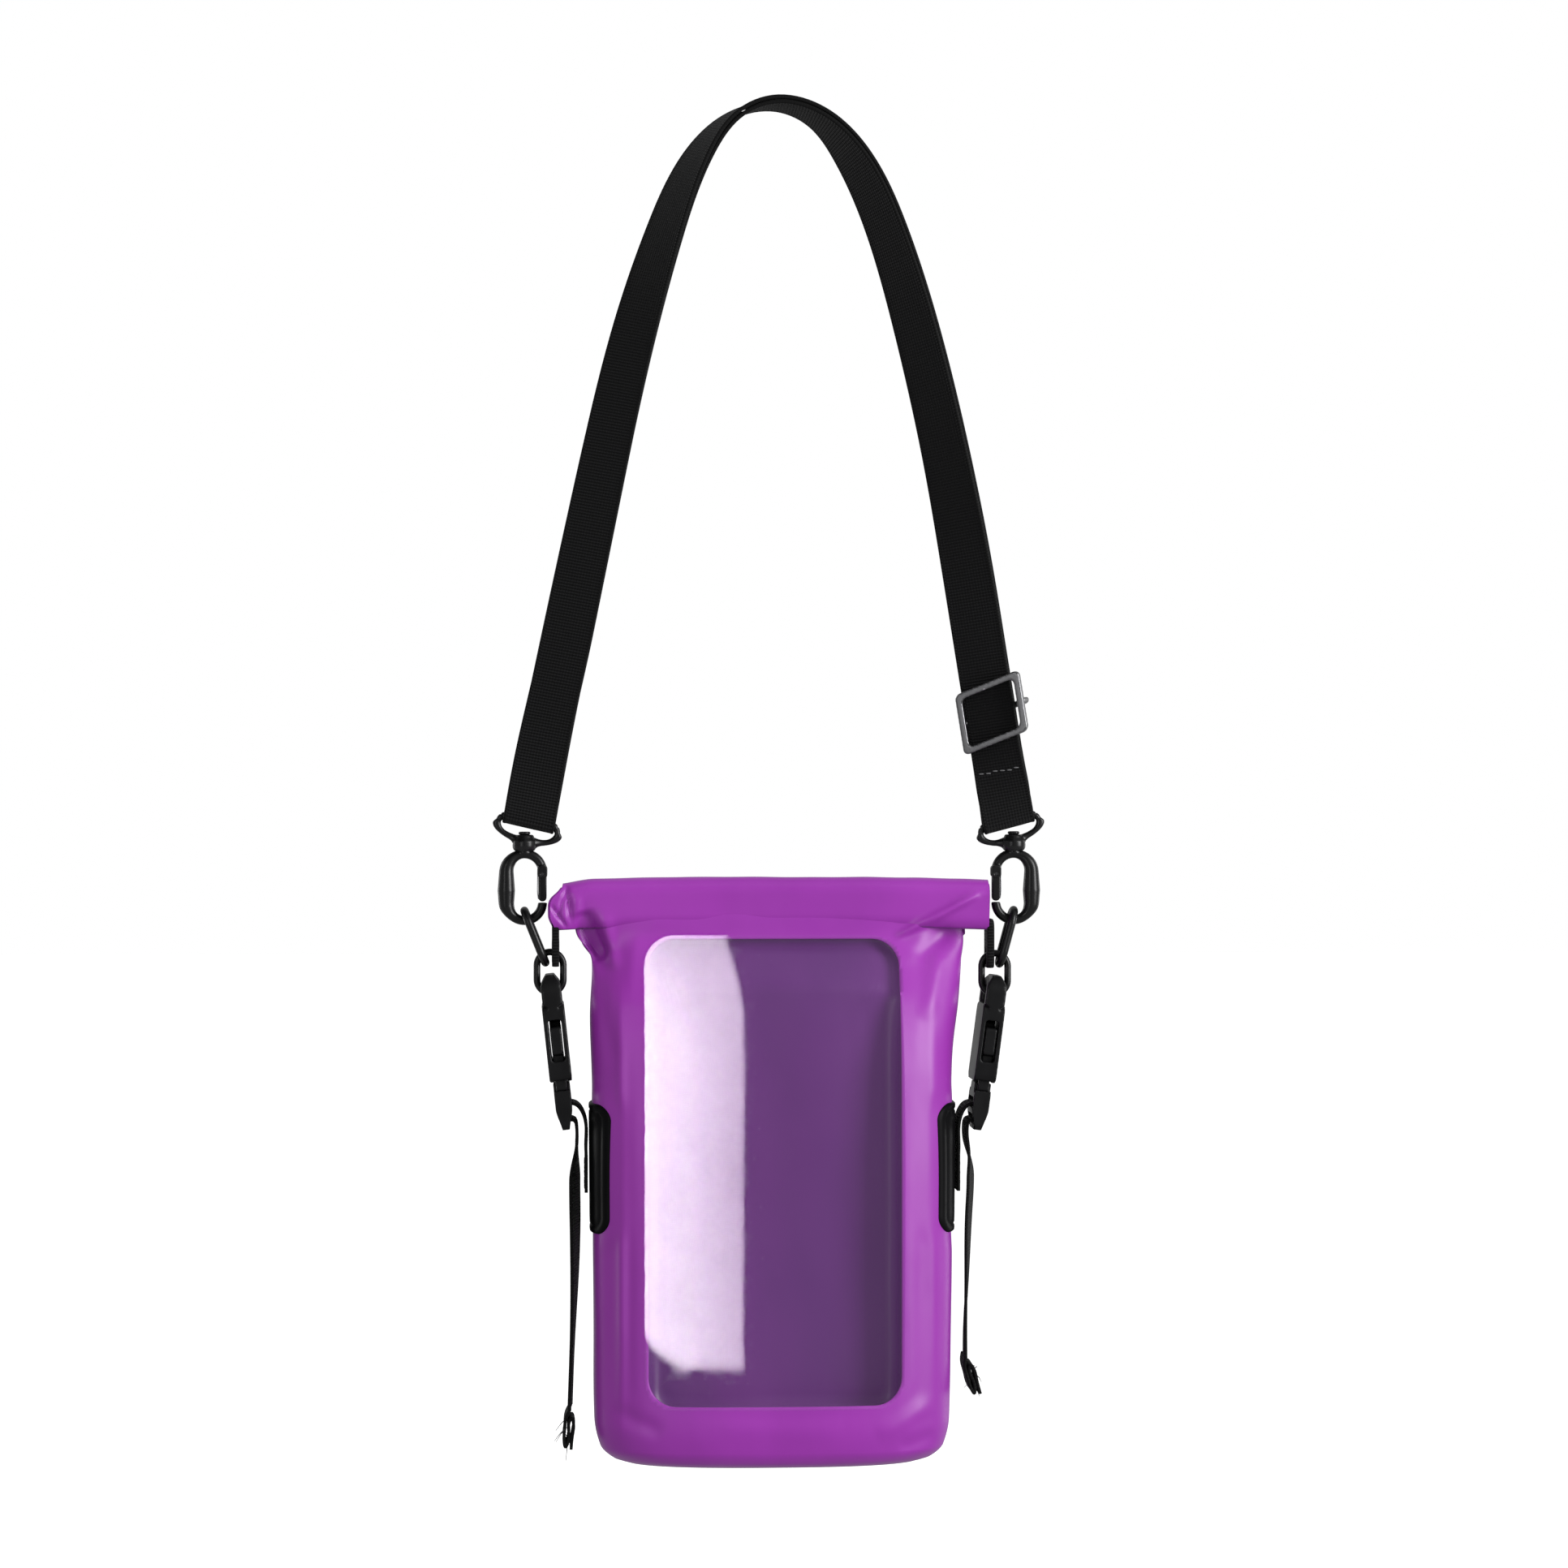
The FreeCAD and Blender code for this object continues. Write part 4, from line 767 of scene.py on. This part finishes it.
def make_roll():
    """The mouth rolled down three turns, its layers showing at both ends."""
    line = spiral_profile()
    ahead = np.gradient(line, axis=0)
    ahead /= np.linalg.norm(ahead, axis=1)[:, None]
    out = np.stack([-ahead[:, 1], ahead[:, 0]], axis=1)
    half = ROLL_SHEET / 2
    turns = np.linspace(0, ROLL_TURNS, len(line))
    shares = 0.5 - 0.5 * np.cos(np.linspace(0, math.pi, 110))
    count = len(line)
    points = []
    for share in shares:
        for side in (1, -1):
            y = line[:, 0] + out[:, 0] * half * side
            z = line[:, 1] + out[:, 1] * half * side
            # the layers end unevenly, and the left end is cut back at its foot
            left = ROLL_LEFT + 2.0 * (1 - smooth(-9.5, -3.0, z)) + 4.6 * smooth(0.5, 9.5, z)
            left = left + 0.8 * np.sin(turns * 4.1) * smooth(0.4, 1.0, turns)
            right = ROLL_RIGHT - 0.5 * np.sin(turns * 3.3) * smooth(0.4, 1.0, turns)
            x = left + (right - left) * share
            crown = -1.2 * np.abs(x / 80.0) ** 3 - 1.6 * smooth(64.0, 80.0, -x) * smooth(2.0, 9.0, z)
            swell = 1 + 0.035 * unevenness(x * 0.06, y * 0.09, z * 0.09)
            front = 1 - smooth(-5.0, -2.0, y)
            crease = front * np.maximum(fold_rise(x, ROLL_Z + z, FRONT_FOLDS), -3.2)
            points.append(np.stack([x, y * swell - crease, ROLL_Z + z * swell + crown], axis=1))
    points = np.concatenate(points)
    faces = []
    for s in range(len(shares) - 1):
        a, b = s * 2 * count, (s + 1) * 2 * count
        for i in range(count - 1):
            faces.append((a + i, a + i + 1, b + i + 1, b + i))
            faces.append((a + count + i, b + count + i, b + count + i + 1, a + count + i + 1))
        for i in (0, count - 1):
            faces.append((a + i, b + i, b + count + i, a + count + i))
    for s in (0, len(shares) - 1):
        a = s * 2 * count
        for i in range(count - 1):
            faces.append((a + i, a + count + i, a + count + i + 1, a + i + 1))
    item = make_mesh("roll_sheet", points, faces)
    dress(item, "bag", "coated_fabric", fabric, "roll_top")


make_roll()

# ---------------------------------------------------------------- window, pocket and patches


FILL_RINGS = 26


def ring_sheet(name, width, height, bend, steps, count, place):
    """Nested rounded outlines and a filled middle: steps are pairs of inset and level, and
    place turns an outline's points and level into places in space."""
    rings = [outline_points(width - 2 * inset, height - 2 * inset, max(bend - inset, 1.5), count)
             for inset, level in steps]
    inner = rings[-1]
    rings += [inner * (1 - step / FILL_RINGS) for step in range(1, FILL_RINGS)] + [inner * 0.01]
    levels = [level for inset, level in steps] + [steps[-1][1]] * FILL_RINGS
    rows = [np.stack(place(ring[:, 0], ring[:, 1], level), axis=1) for ring, level in zip(rings, levels)]
    faces = grid_faces(len(rows), count, wrap_columns=True)
    faces.append(tuple(range((len(rows) - 1) * count, len(rows) * count)))
    return make_mesh(name, np.concatenate(rows), faces)


def make_film():
    """Clear pane welded over the opening."""
    steps = ((0.0, 0.15), (0.15, 0.15), (0.4, 0.15), (0.7, 0.15), (1.0, 0.15), (1.3, 0.15), (1.8, 0.15),
             (3.0, 0.16), (8.0, 0.20), (16.0, 0.20))

    def place(x, z, lift):
        z = z + WINDOW_Z
        return x, -front_depth(x, z) - lift, z

    item = ring_sheet("window_film", WINDOW_WIDTH, WINDOW_HEIGHT, WINDOW_BEND, steps, 360, place)
    dress(item, "bag", "clear_film", film_clear, "window_pane")


POCKET_WIDTH, POCKET_HEIGHT, POCKET_BEND, POCKET_Z = 92.0, 172.0, 9.0, -386.0
POCKET_FRONT, POCKET_BACK = -26.0, -13.6


def make_sleeve():
    """Soft phone sleeve behind the window: a shallow tray with a slack back, in the bag's fabric darkened as
    painted shade.
    """
    steps = ((0.0, 0.0), (0.4, 0.35), (1.2, 0.7), (2.6, 0.92), (5.0, 1.0))

    def place(x, z, share):
        z = z + POCKET_Z
        skin_y = -front_depth(x, z)
        front = np.maximum(POCKET_FRONT, skin_y + 2.2)
        back = np.maximum(POCKET_BACK, skin_y + 4.6)
        slack = 1.1 * unevenness(x * 0.035, np.full_like(x, 5.0), z * 0.018) * (share == 1.0)
        return x, front + (back - front) * share + slack * smooth(-306.0, -330.0, z), z

    item = ring_sheet("pocket_sleeve", POCKET_WIDTH, POCKET_HEIGHT, POCKET_BEND, steps, 300, place)
    thicken(item, 0.6, -1)
    dress(item, "bag", "coated_fabric", sleeve, "phone_pocket")


def make_patch(name, side):
    """Welded black patch on the bag's side with a pressed weld line round its edge."""
    steps = ((0.0, 0.05), (0.12, 0.7), (0.5, 1.1), (1.2, 1.2), (2.0, 1.15), (2.4, 0.85), (3.0, 0.85),
             (3.4, 1.15), (6.0, 1.2), (10.0, 1.2))

    def place(y, z, lift):
        z = z + PATCH_Z
        return side["sign"] * (side_reach(y, z) + lift), y, z

    item = ring_sheet("side_patch_film_" + name, PATCH_WIDTH, PATCH_HEIGHT, PATCH_BEND, steps, 200, place)
    dress(item, "bag", "patch_film", patch_black, "side_patch_" + name)


make_film()
make_sleeve()
for side_name, side_data in SIDES.items():
    make_patch(side_name, side_data)

# ---------------------------------------------------------------- webbing of the buckles

TAPE_WIDTH, TAPE_THICK = 15.0, 1.2
UPPER_LOCK, LOWER_LOCK = -44.4, -50.4
TAILS = {
    "left": [(-71.0, -380.0), (-71.2, -400.0), (-71.4, -425.0), (-72.3, -450.0), (-73.0, -470.0)],
    "right": [(71.6, -380.0), (71.6, -400.0), (70.8, -425.0), (70.2, -446.0), (70.2, -452.0)],
}
TAIL_LEANS = {"left": 4.0, "right": -16.0}


def lock_place(side, level):
    """X and Z of a lock slot on the leaning axis of a buckle."""
    lean = math.radians(side["sign"] * side["lean"])
    return side["bar"][0] + level * math.sin(lean), side["bar"][1] + level * math.cos(lean)


RISER_SEAM = -379.0


def make_riser(name, side):
    """Webbing sewn to the side patch, and its slack loop up into the buckle's lock."""
    sign = side["sign"]
    lock_x, lock_z = lock_place(side, UPPER_LOCK)
    patch_x = sign * 67.2
    foot_route = [(patch_x, -392.0), (patch_x, -386.0), (patch_x, RISER_SEAM)]
    foot = sweep("riser_foot_" + name, *flat_sections(foot_route, 20), TAPE_WIDTH, TAPE_THICK)
    dress(foot, "bag", "webbing", black_web, "strap_riser_" + name)
    loop_route = [
        (patch_x, RISER_SEAM), (patch_x + sign * 0.1, -376.0), (patch_x + sign * 0.8, lock_z - 4.5),
        (lock_x - sign * 4.2, lock_z - 0.3), (lock_x - sign * 0.6, lock_z),
    ]
    loop = sweep("riser_loop_" + name, *flat_sections(loop_route, 50), TAPE_WIDTH, TAPE_THICK)
    dress(loop, "bag", "webbing", black_web, "strap_riser_" + name)
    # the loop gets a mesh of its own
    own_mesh(loop)
    out = (sign, 0, 0)
    face = patch_x + sign * TAPE_THICK / 2 * 0.95
    corners = [(face, -5.6, -390.5), (face, 5.6, -390.5), (face, 5.6, -380.5), (face, -5.6, -380.5)]
    spots = []
    for start, end in zip(corners, corners[1:] + corners[:1]):
        spots += stitch_run(start, end, out)
    spots += stitch_run(corners[0], corners[2], out) + stitch_run(corners[1], corners[3], out)
    threads = stitch_mesh("riser_stitches_" + name, spots)
    dress(threads, "bag", "thread", thread_black)


def make_tail(name, side):
    """Free end of the webbing below the buckle."""
    sign = side["sign"]
    low_x, low_z = lock_place(side, LOWER_LOCK)
    route = [
        (low_x - sign * 0.6, low_z), (low_x - sign * 3.4, low_z - 0.3), (low_x - sign * 4.1, low_z - 2.6),
    ] + TAILS[name]
    centres, acrosses, normals = flat_sections(route, 110)
    # slack webbing turns a little on itself on the way down
    free = 1 - smooth(-388.0, -374.0, centres[:, 2])
    turn = math.radians(12.0) * free * (1 - 0.75 * (1 - smooth(-455.0, -395.0, centres[:, 2])))
    turned = acrosses * np.cos(turn)[:, None] + normals * np.sin(turn)[:, None]
    normals = normals * np.cos(turn)[:, None] - acrosses * np.sin(turn)[:, None]
    item = sweep("tail_webbing_" + name, centres, turned, normals, TAPE_WIDTH, TAPE_THICK)
    dress(item, "plug_" + name, "webbing", black_web, "strap_tail_" + name)


def make_tail_fold(name):
    """Tail end folded three times and sewn, with a few loose threads."""
    end_x, end_z = TAILS[name][-1]
    lean = math.radians(TAIL_LEANS[name])
    path = [
        (0.0, 1.0), (-1.3, -2.0), (-1.45, -6.0), (-1.35, -11.0), (-0.75, -12.6), (-0.1, -11.2), (0.0, -7.0),
        (0.1, -3.4), (0.75, -2.3), (1.4, -3.6), (1.5, -8.0), (1.3, -13.4),
    ]
    turned = []
    for x, z in path:
        turned.append((end_x + x * math.cos(lean) + z * math.sin(lean),
                       end_z - 0.9 + z * math.cos(lean) - x * math.sin(lean)))
    centres, acrosses, normals = flat_sections(turned, 120)
    depth = (end_z - centres[:, 2]) / 14.0
    gather = 1 - 0.22 * np.exp(-((depth - 0.45) / 0.28) ** 2)
    item = sweep("tail_fold_" + name, centres, acrosses * gather[:, None], normals, TAPE_WIDTH, 1.15)
    dress(item, "plug_" + name, "webbing", black_web, "tail_end_" + name)
    curve = bpy.data.curves.new("tail_threads_" + name, "CURVE")
    curve.dimensions = "3D"
    curve.bevel_depth = 0.2 * MM
    curve.bevel_resolution = 2
    foot = (end_x - 13.0 * math.sin(lean), end_z - 13.0 * math.cos(lean))
    for count in range(7):
        y = -6.0 + 2.0 * count + rng.uniform(-0.5, 0.5)
        root = Vector((foot[0] + rng.uniform(-1.2, 1.2), y, foot[1] + rng.uniform(0.0, 9.0)))
        way = Vector((rng.uniform(-1.0, 1.0), rng.uniform(-0.3, 0.3), rng.uniform(-1.0, 0.35)))
        line = curve.splines.new("NURBS")
        line.points.add(3)
        for step in range(4):
            spot = root + way * (1.5 * step) + Vector((0, 0, -0.22 * step * step))
            line.points[step].co = (*(spot * MM), 1)
            line.points[step].radius = 1.0 - 0.2 * step
        line.order_u = 3
        line.use_endpoint_u = True
    threads = bpy.data.objects.new("tail_threads_" + name, curve)
    bpy.context.scene.collection.objects.link(threads)
    dress(threads, "plug_" + name, "thread", thread_black)


# How far the tab goes on up into the roll, its eyelet's height and radius, and its corners' radius.
TAB_ROOT, EYELET_RISE, EYELET_RADIUS, TAB_BEND = 5.0, 4.6, 2.65, 3.0
TAB_POINTS, TAB_UV_WIDTH = 96, 16.0


def make_end_tab(name):
    """Folded webbing tab at the roll's end, with a sewn eyelet for the lower link."""
    low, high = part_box("end_tab_" + name)
    low, high = low / MM, high / MM
    high.z += TAB_ROOT
    centre = (low + high) / 2
    width, height, thick = high.y - low.y, high.z - low.z, high.x - low.x
    drop = low.z + EYELET_RISE - centre.z
    outer = outline_points(width, height, TAB_BEND, TAB_POINTS)
    angles = np.arctan2(outer[:, 1] - drop, outer[:, 0])
    inner = np.stack([np.cos(angles) * EYELET_RADIUS, np.sin(angles) * EYELET_RADIUS + drop], axis=1)
    rows = []
    # round the outer edge, over one face, through the hole and back over the other
    for share, lift in ((0.0, 0.0), (0.02, 0.75), (0.08, 1.0), (0.5, 0.94), (0.86, 1.06), (0.96, 0.9),
                        (1.0, 0.0), (0.96, -0.9), (0.86, -1.06), (0.5, -0.94), (0.08, -1.0), (0.02, -0.75)):
        ring = outer * (1 - share) + inner * share
        x = np.full(TAB_POINTS, centre.x + thick / 2 * lift)
        rows.append(np.stack([x, ring[:, 0], ring[:, 1] + centre.z], axis=1))
    points = np.concatenate(rows)
    faces = grid_faces(len(rows), TAB_POINTS, wrap_rows=True, wrap_columns=True)
    spread = [(y / TAB_UV_WIDTH + 0.5, z * UV_PER_MM) for x, y, z in points]
    uvs = [tuple(spread[i] for i in face) for face in faces]
    item = make_mesh("end_tab_webbing_" + name, points, faces, uvs)
    dress(item, "bag", "webbing", black_web, "end_tab_" + name)


for side_name, side_data in SIDES.items():
    make_riser(side_name, side_data)
    make_tail(side_name, side_data)
    make_tail_fold(side_name)
    make_end_tab(side_name)

# ---------------------------------------------------------------- hard parts

VOXEL, EASE_PASSES = 0.32, 7


def rounded_form(node_name, item, finish, reshape):
    """A CAD part with moulded edges: remeshed finely, eased, and shaped further by reshape."""
    form = bpy.data.objects.new(node_name + "_form", item.data.copy())
    form.data.materials.clear()
    bpy.context.scene.collection.objects.link(form)
    mesher = form.modifiers.new("voxels", "REMESH")
    mesher.mode = "VOXEL"
    mesher.voxel_size = VOXEL * MM
    ease = form.modifiers.new("ease", "SMOOTH")
    ease.factor = 0.5
    ease.iterations = EASE_PASSES
    apply_modifiers(form)
    mesh = form.data
    spots, ways = np.empty((2, len(mesh.vertices) * 3))
    mesh.vertices.foreach_get("co", spots)
    mesh.vertices.foreach_get("normal", ways)
    spots = reshape(spots.reshape(-1, 3) / MM, ways.reshape(-1, 3))
    mesh.vertices.foreach_set("co", (spots * MM).ravel())
    mesh.update()
    slot = next(row["material_slot"] for row in frame["record"]["subparts"] if row["node"] == node_name)
    body = next(name for name, nodes in frame["record"]["behaviour"]["bodies"].items() if node_name in nodes)
    return dress(form, body, slot, finish, node_name)


def middle(node):
    """The middle of a node's box, in millimetres."""
    low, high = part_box(node)
    return np.array((low + high) / 2) / MM


def to_local(spots, origin, lean):
    """Places in a frame that leans about Y: across, depth and up."""
    x, z = spots[:, 0] - origin[0], spots[:, 2] - origin[1]
    return np.stack([x * math.cos(lean) - z * math.sin(lean), spots[:, 1],
                     z * math.cos(lean) + x * math.sin(lean)], axis=1)


def to_world(local, origin, lean):
    """The way back from to_local."""
    return np.stack([origin[0] + local[:, 0] * math.cos(lean) + local[:, 2] * math.sin(lean), local[:, 1],
                     origin[1] + local[:, 2] * math.cos(lean) - local[:, 0] * math.sin(lean)], axis=1)


def shape_hook(spots, ways, side_name, side):
    """The hook's outer side is heavy, with a blunt corner at half height."""
    outer = smooth(0.5, 5.5, (spots[:, 0] - middle("snap_hook_" + side_name)[0]) * side["sign"])
    level = spots[:, 2]
    corner = np.clip(1 - np.abs(level + 283.5) / 9.0, 0, 1)
    flank = smooth(-295.0, -289.0, level) * (1 - smooth(-275.0, -267.5, level))
    return spots + ways * (outer * flank * (0.8 + 0.7 * corner))[:, None]


def shape_eye(spots, ways, side_name, side):
    """Round corners where the bar meets the bow, and a chunky boss for the swivel."""
    lean = math.radians(-side["sign"] * side["eye_tilt"])
    origin = STRAP_ROUTE[0 if side["sign"] < 0 else -1][:2]
    aside, level = spots[:, 0] - middle("snap_hook_" + side_name)[0], spots[:, 2]
    boss = (1 - smooth(2.5, 6.0, np.abs(aside))) * (1 - smooth(-266.0, -262.0, level))
    outside = smooth(1.8, 3.0, np.hypot(aside, spots[:, 1])) * (1 - smooth(-266.0, -264.0, level))
    local = to_local(spots + ways * (boss * (0.75 + 0.7 * outside))[:, None], origin, lean)
    half, bend = 11.2, 2.8
    over = np.abs(local[:, 0]) - (half - bend)
    rise = local[:, 2] + bend
    held = (over > 0) & (rise > 0)
    ratio = np.where(held, np.maximum(over, rise) / np.hypot(over, np.where(held, rise, 1.0)), 1.0)
    local[:, 0] = np.where(held, np.sign(local[:, 0]) * (half - bend + over * ratio), local[:, 0])
    local[:, 2] = np.where(held, rise * ratio - bend, local[:, 2])
    # a little narrower all over, and bowed out below the bar
    local[:, 0] *= 0.96
    bow = np.sin(math.pi * np.clip((-local[:, 2] - 2.2) / 6.8, 0, 1))
    local[:, 0] += np.sign(local[:, 0]) * 1.8 * bow * smooth(3.0, 6.5, np.abs(local[:, 0]))
    return to_world(local, origin, lean)


def shape_buckle(spots, ways, side_name, side):
    """Full side rails round the socket's loop, and a lever end that thins out on the plug."""
    lean = math.radians(side["sign"] * side["lean"])
    local = to_local(spots, side["bar"], lean)
    level = local[:, 2]
    rails = smooth(6.5, 9.0, np.abs(local[:, 1])) * smooth(-9.5, -8.0, level) * (1 - smooth(-2.0, 2.6, level))
    lever = 1 - smooth(-54.5, -46.0, level)
    reach = np.abs(local[:, 0])
    reach = np.minimum(reach * (1 + rails), np.maximum(reach, 3.6)) * (1 - 0.55 * lever)
    local[:, 0] = np.sign(local[:, 0]) * reach
    return to_world(local, side["bar"], lean)


SLIDER_WIDTH_AXIS = np.array([0.909, -0.391, 0.146])
SLIDER_UP_AXIS = np.array([-0.159, 0.0, 0.987])
SLIDER_SLIP, SLIDER_SKEW = 1.5, 0.22


def shape_slider(spots, ways, side_name, side):
    """The slider has slipped a little across the strap and sits skewed on it."""
    across = (spots - middle("slider_frame")) @ SLIDER_WIDTH_AXIS
    return spots + SLIDER_SLIP * SLIDER_WIDTH_AXIS + SLIDER_UP_AXIS * (SLIDER_SKEW * across)[:, None]


def shape_stiffener(spots, ways, side_name, side):
    """The strips end inside the roll's uneven ends."""
    centre = middle("roll_top")
    return centre + (spots - centre) * np.array([0.955, 1.0, 0.8])


def keep_shape(spots, ways, side_name, side):
    """Nothing beyond the eased edges."""
    return spots


def make_leaf(name, side):
    """Leaf spring of a gate: a thin strip down the spring's place, its foot turned a little inward."""
    low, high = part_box("gate_spring_" + name)
    x, top, foot = middle("gate_spring_" + name)[0], high.z / MM, low.z / MM
    inward = -side["sign"]
    route = [(x, top), (x, top - 3.0), (x, foot + 2.0), (x + inward * 0.25, foot)]
    leaf = sweep("gate_leaf_" + name, *flat_sections(route, 24), 1.8, 0.3)
    leaf.data.materials.append(spring_metal)
    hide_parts("gate_spring_" + name)
    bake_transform(leaf)


for side_name, side_data in SIDES.items():
    make_leaf(side_name, side_data)

# How a node's name starts, its finish, and its reshaping; without one the CAD shape shows as it is.
HARD_PARTS = (
    ("slider", slider_metal_painted_highlight, shape_slider), ("eye", hook_metal, shape_eye),
    ("snap_hook", hook_metal, shape_hook), ("gate_pin", hook_metal, None),
    ("gate", hook_metal, keep_shape), ("link", hook_metal, None),
    ("buckle_arm", plastic, keep_shape), ("buckle", plastic, shape_buckle),
    ("stiffener", strip_black, shape_stiffener),
)
for node_name, node_item in frame["nodes"].items():
    if node_item.hide_render:
        continue
    finish, shape = next(row[1:] for row in HARD_PARTS if node_name.startswith(row[0]))
    if shape:
        side_name = "left" if node_name.endswith("left") else "right"
        form = rounded_form(node_name, node_item, finish,
                            lambda spots, ways: shape(spots, ways, side_name, SIDES[side_name]))
        if node_name.startswith("buckle_arm"):
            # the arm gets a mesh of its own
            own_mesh(form)
    else:
        node_item.data.materials.clear()
        node_item.data.materials.append(finish)
        for polygon in node_item.data.polygons:
            polygon.material_index = 0

# ---------------------------------------------------------------- camera, light and floor

AIM = Vector((0.0044, 0.0, -0.245))
CAMERA_DISTANCE = 1.5
CAMERA_AZIMUTH = math.radians(-3.0)
SENSOR_WIDTH, VIEW_WIDTH = 36.0, 0.568


def place_in_scene(name, data, place, aim):
    """A camera or lamp at a place, turned towards a point."""
    item = bpy.data.objects.new(name, data)
    bpy.context.scene.collection.objects.link(item)
    item.location = place
    item.rotation_mode = "QUATERNION"
    item.rotation_quaternion = (Vector(aim) - Vector(place)).to_track_quat("-Z", "Y")
    return item


camera_data = bpy.data.cameras.new("camera")
camera_data.sensor_width = SENSOR_WIDTH
camera_data.lens = SENSOR_WIDTH * CAMERA_DISTANCE / VIEW_WIDTH
back = Vector((math.sin(CAMERA_AZIMUTH), -math.cos(CAMERA_AZIMUTH), 0.0))
bpy.context.scene.camera = place_in_scene("camera", camera_data, AIM + back * CAMERA_DISTANCE, AIM)


def softbox(name, place, width, height, watts):
    """A large soft area light turned towards the bag."""
    data = bpy.data.lights.new(name, "AREA")
    data.shape = "RECTANGLE"
    data.size = width
    data.size_y = height
    data.energy = watts
    return place_in_scene(name, data, place, AIM)


softbox("key", (1.72, -1.25, 0.25), 0.8, 1.6, 58.0)
softbox("fill", (-0.9, -1.9, 0.0), 0.8, 1.4, 11.0)
softbox("top", (0.1, -0.7, 1.5), 1.2, 0.9, 10.0).visible_glossy = False
softbox("rim_right", (1.4, 1.0, -0.1), 0.4, 1.4, 5.0)
softbox("rim_left", (-1.4, 1.0, -0.1), 0.4, 1.4, 6.0)


def make_reflector():
    """A tall curved white card that only the clear film sees, for its long reflection."""
    radius, right_edge, left_edge = 2.0, 0.012, -2.4
    lowest, highest, steps = -11.2, 100.0, 24
    centre = Vector((0.0, 0.0, -0.38))
    points = []
    for step in range(steps + 1):
        lift = math.radians(lowest + (highest - lowest) * step / steps)
        y, z = -radius * math.cos(lift), radius * math.sin(lift)
        points += [(centre + Vector((x, y, z))) / MM for x in (left_edge, right_edge)]
    card = make_mesh("reflector_card", points, grid_faces(steps + 1, 2))
    glow = bpy.data.materials.new("card_glow")
    glow.use_nodes = True
    tree = glow.node_tree
    tree.nodes.clear()
    where = add_node(tree, "ShaderNodeTexCoord").outputs["Object"]
    across = add_node(tree, "ShaderNodeSeparateXYZ", {"Vector": where}).outputs["X"]
    fade = add_node(tree, "ShaderNodeMapRange", {"Value": across, "From Min": -0.5, "From Max": 0.01,
                                                 "To Min": 72.0, "To Max": 42.0})
    light = add_node(tree, "ShaderNodeEmission", {"Color": (0.98, 0.88, 1.0, 1),
                                                  "Strength": fade.outputs["Result"]})
    add_node(tree, "ShaderNodeOutputMaterial", {"Surface": light.outputs["Emission"]})
    card.data.materials.append(glow)
    card.visible_camera = False
    card.visible_diffuse = False
    card.visible_shadow = False
    viewers = bpy.data.collections.new("card_viewers")
    viewers.objects.link(bpy.data.objects["window_film"])
    card.light_linking.receiver_collection = viewers


make_reflector()

WHITE = (1, 1, 1, 1)
FLOOR_Z, FLOOR_HALF = -0.80, 12.0
floor_data = bpy.data.meshes.new("floor")
floor_corners = [(FLOOR_HALF * x, FLOOR_HALF * y, FLOOR_Z) for x, y in ((-1, -1), (1, -1), (1, 1), (-1, 1))]
floor_data.from_pydata(floor_corners, [], [(0, 1, 2, 3)])
floor = bpy.data.objects.new("floor", floor_data)
bpy.context.scene.collection.objects.link(floor)
floor_data.materials.append(new_material("pale_floor", {
    "Roughness": 0.9, "Specular IOR Level": 0.1, "Base Color": (0.92, 0.92, 0.92, 1),
    "Emission Color": WHITE, "Emission Strength": 0.72,
})[0])
floor.visible_diffuse = False
floor.visible_glossy = False

# even light from all round, and a plain white backdrop
world = bpy.data.worlds.new("world")
bpy.context.scene.world = world
world.use_nodes = True
sky = world.node_tree
sky.nodes.clear()
soft_light = add_node(sky, "ShaderNodeBackground", {"Color": WHITE, "Strength": 0.46})
backdrop = add_node(sky, "ShaderNodeBackground", {"Color": WHITE, "Strength": 1.0})
seen = add_node(sky, "ShaderNodeLightPath").outputs["Is Camera Ray"]
choose = add_node(sky, "ShaderNodeMixShader", {"Fac": seen, 1: soft_light.outputs["Background"],
                                               2: backdrop.outputs["Background"]})
add_node(sky, "ShaderNodeOutputWorld", {"Surface": choose.outputs["Shader"]})
bpy.context.scene.view_settings.view_transform = "Standard"
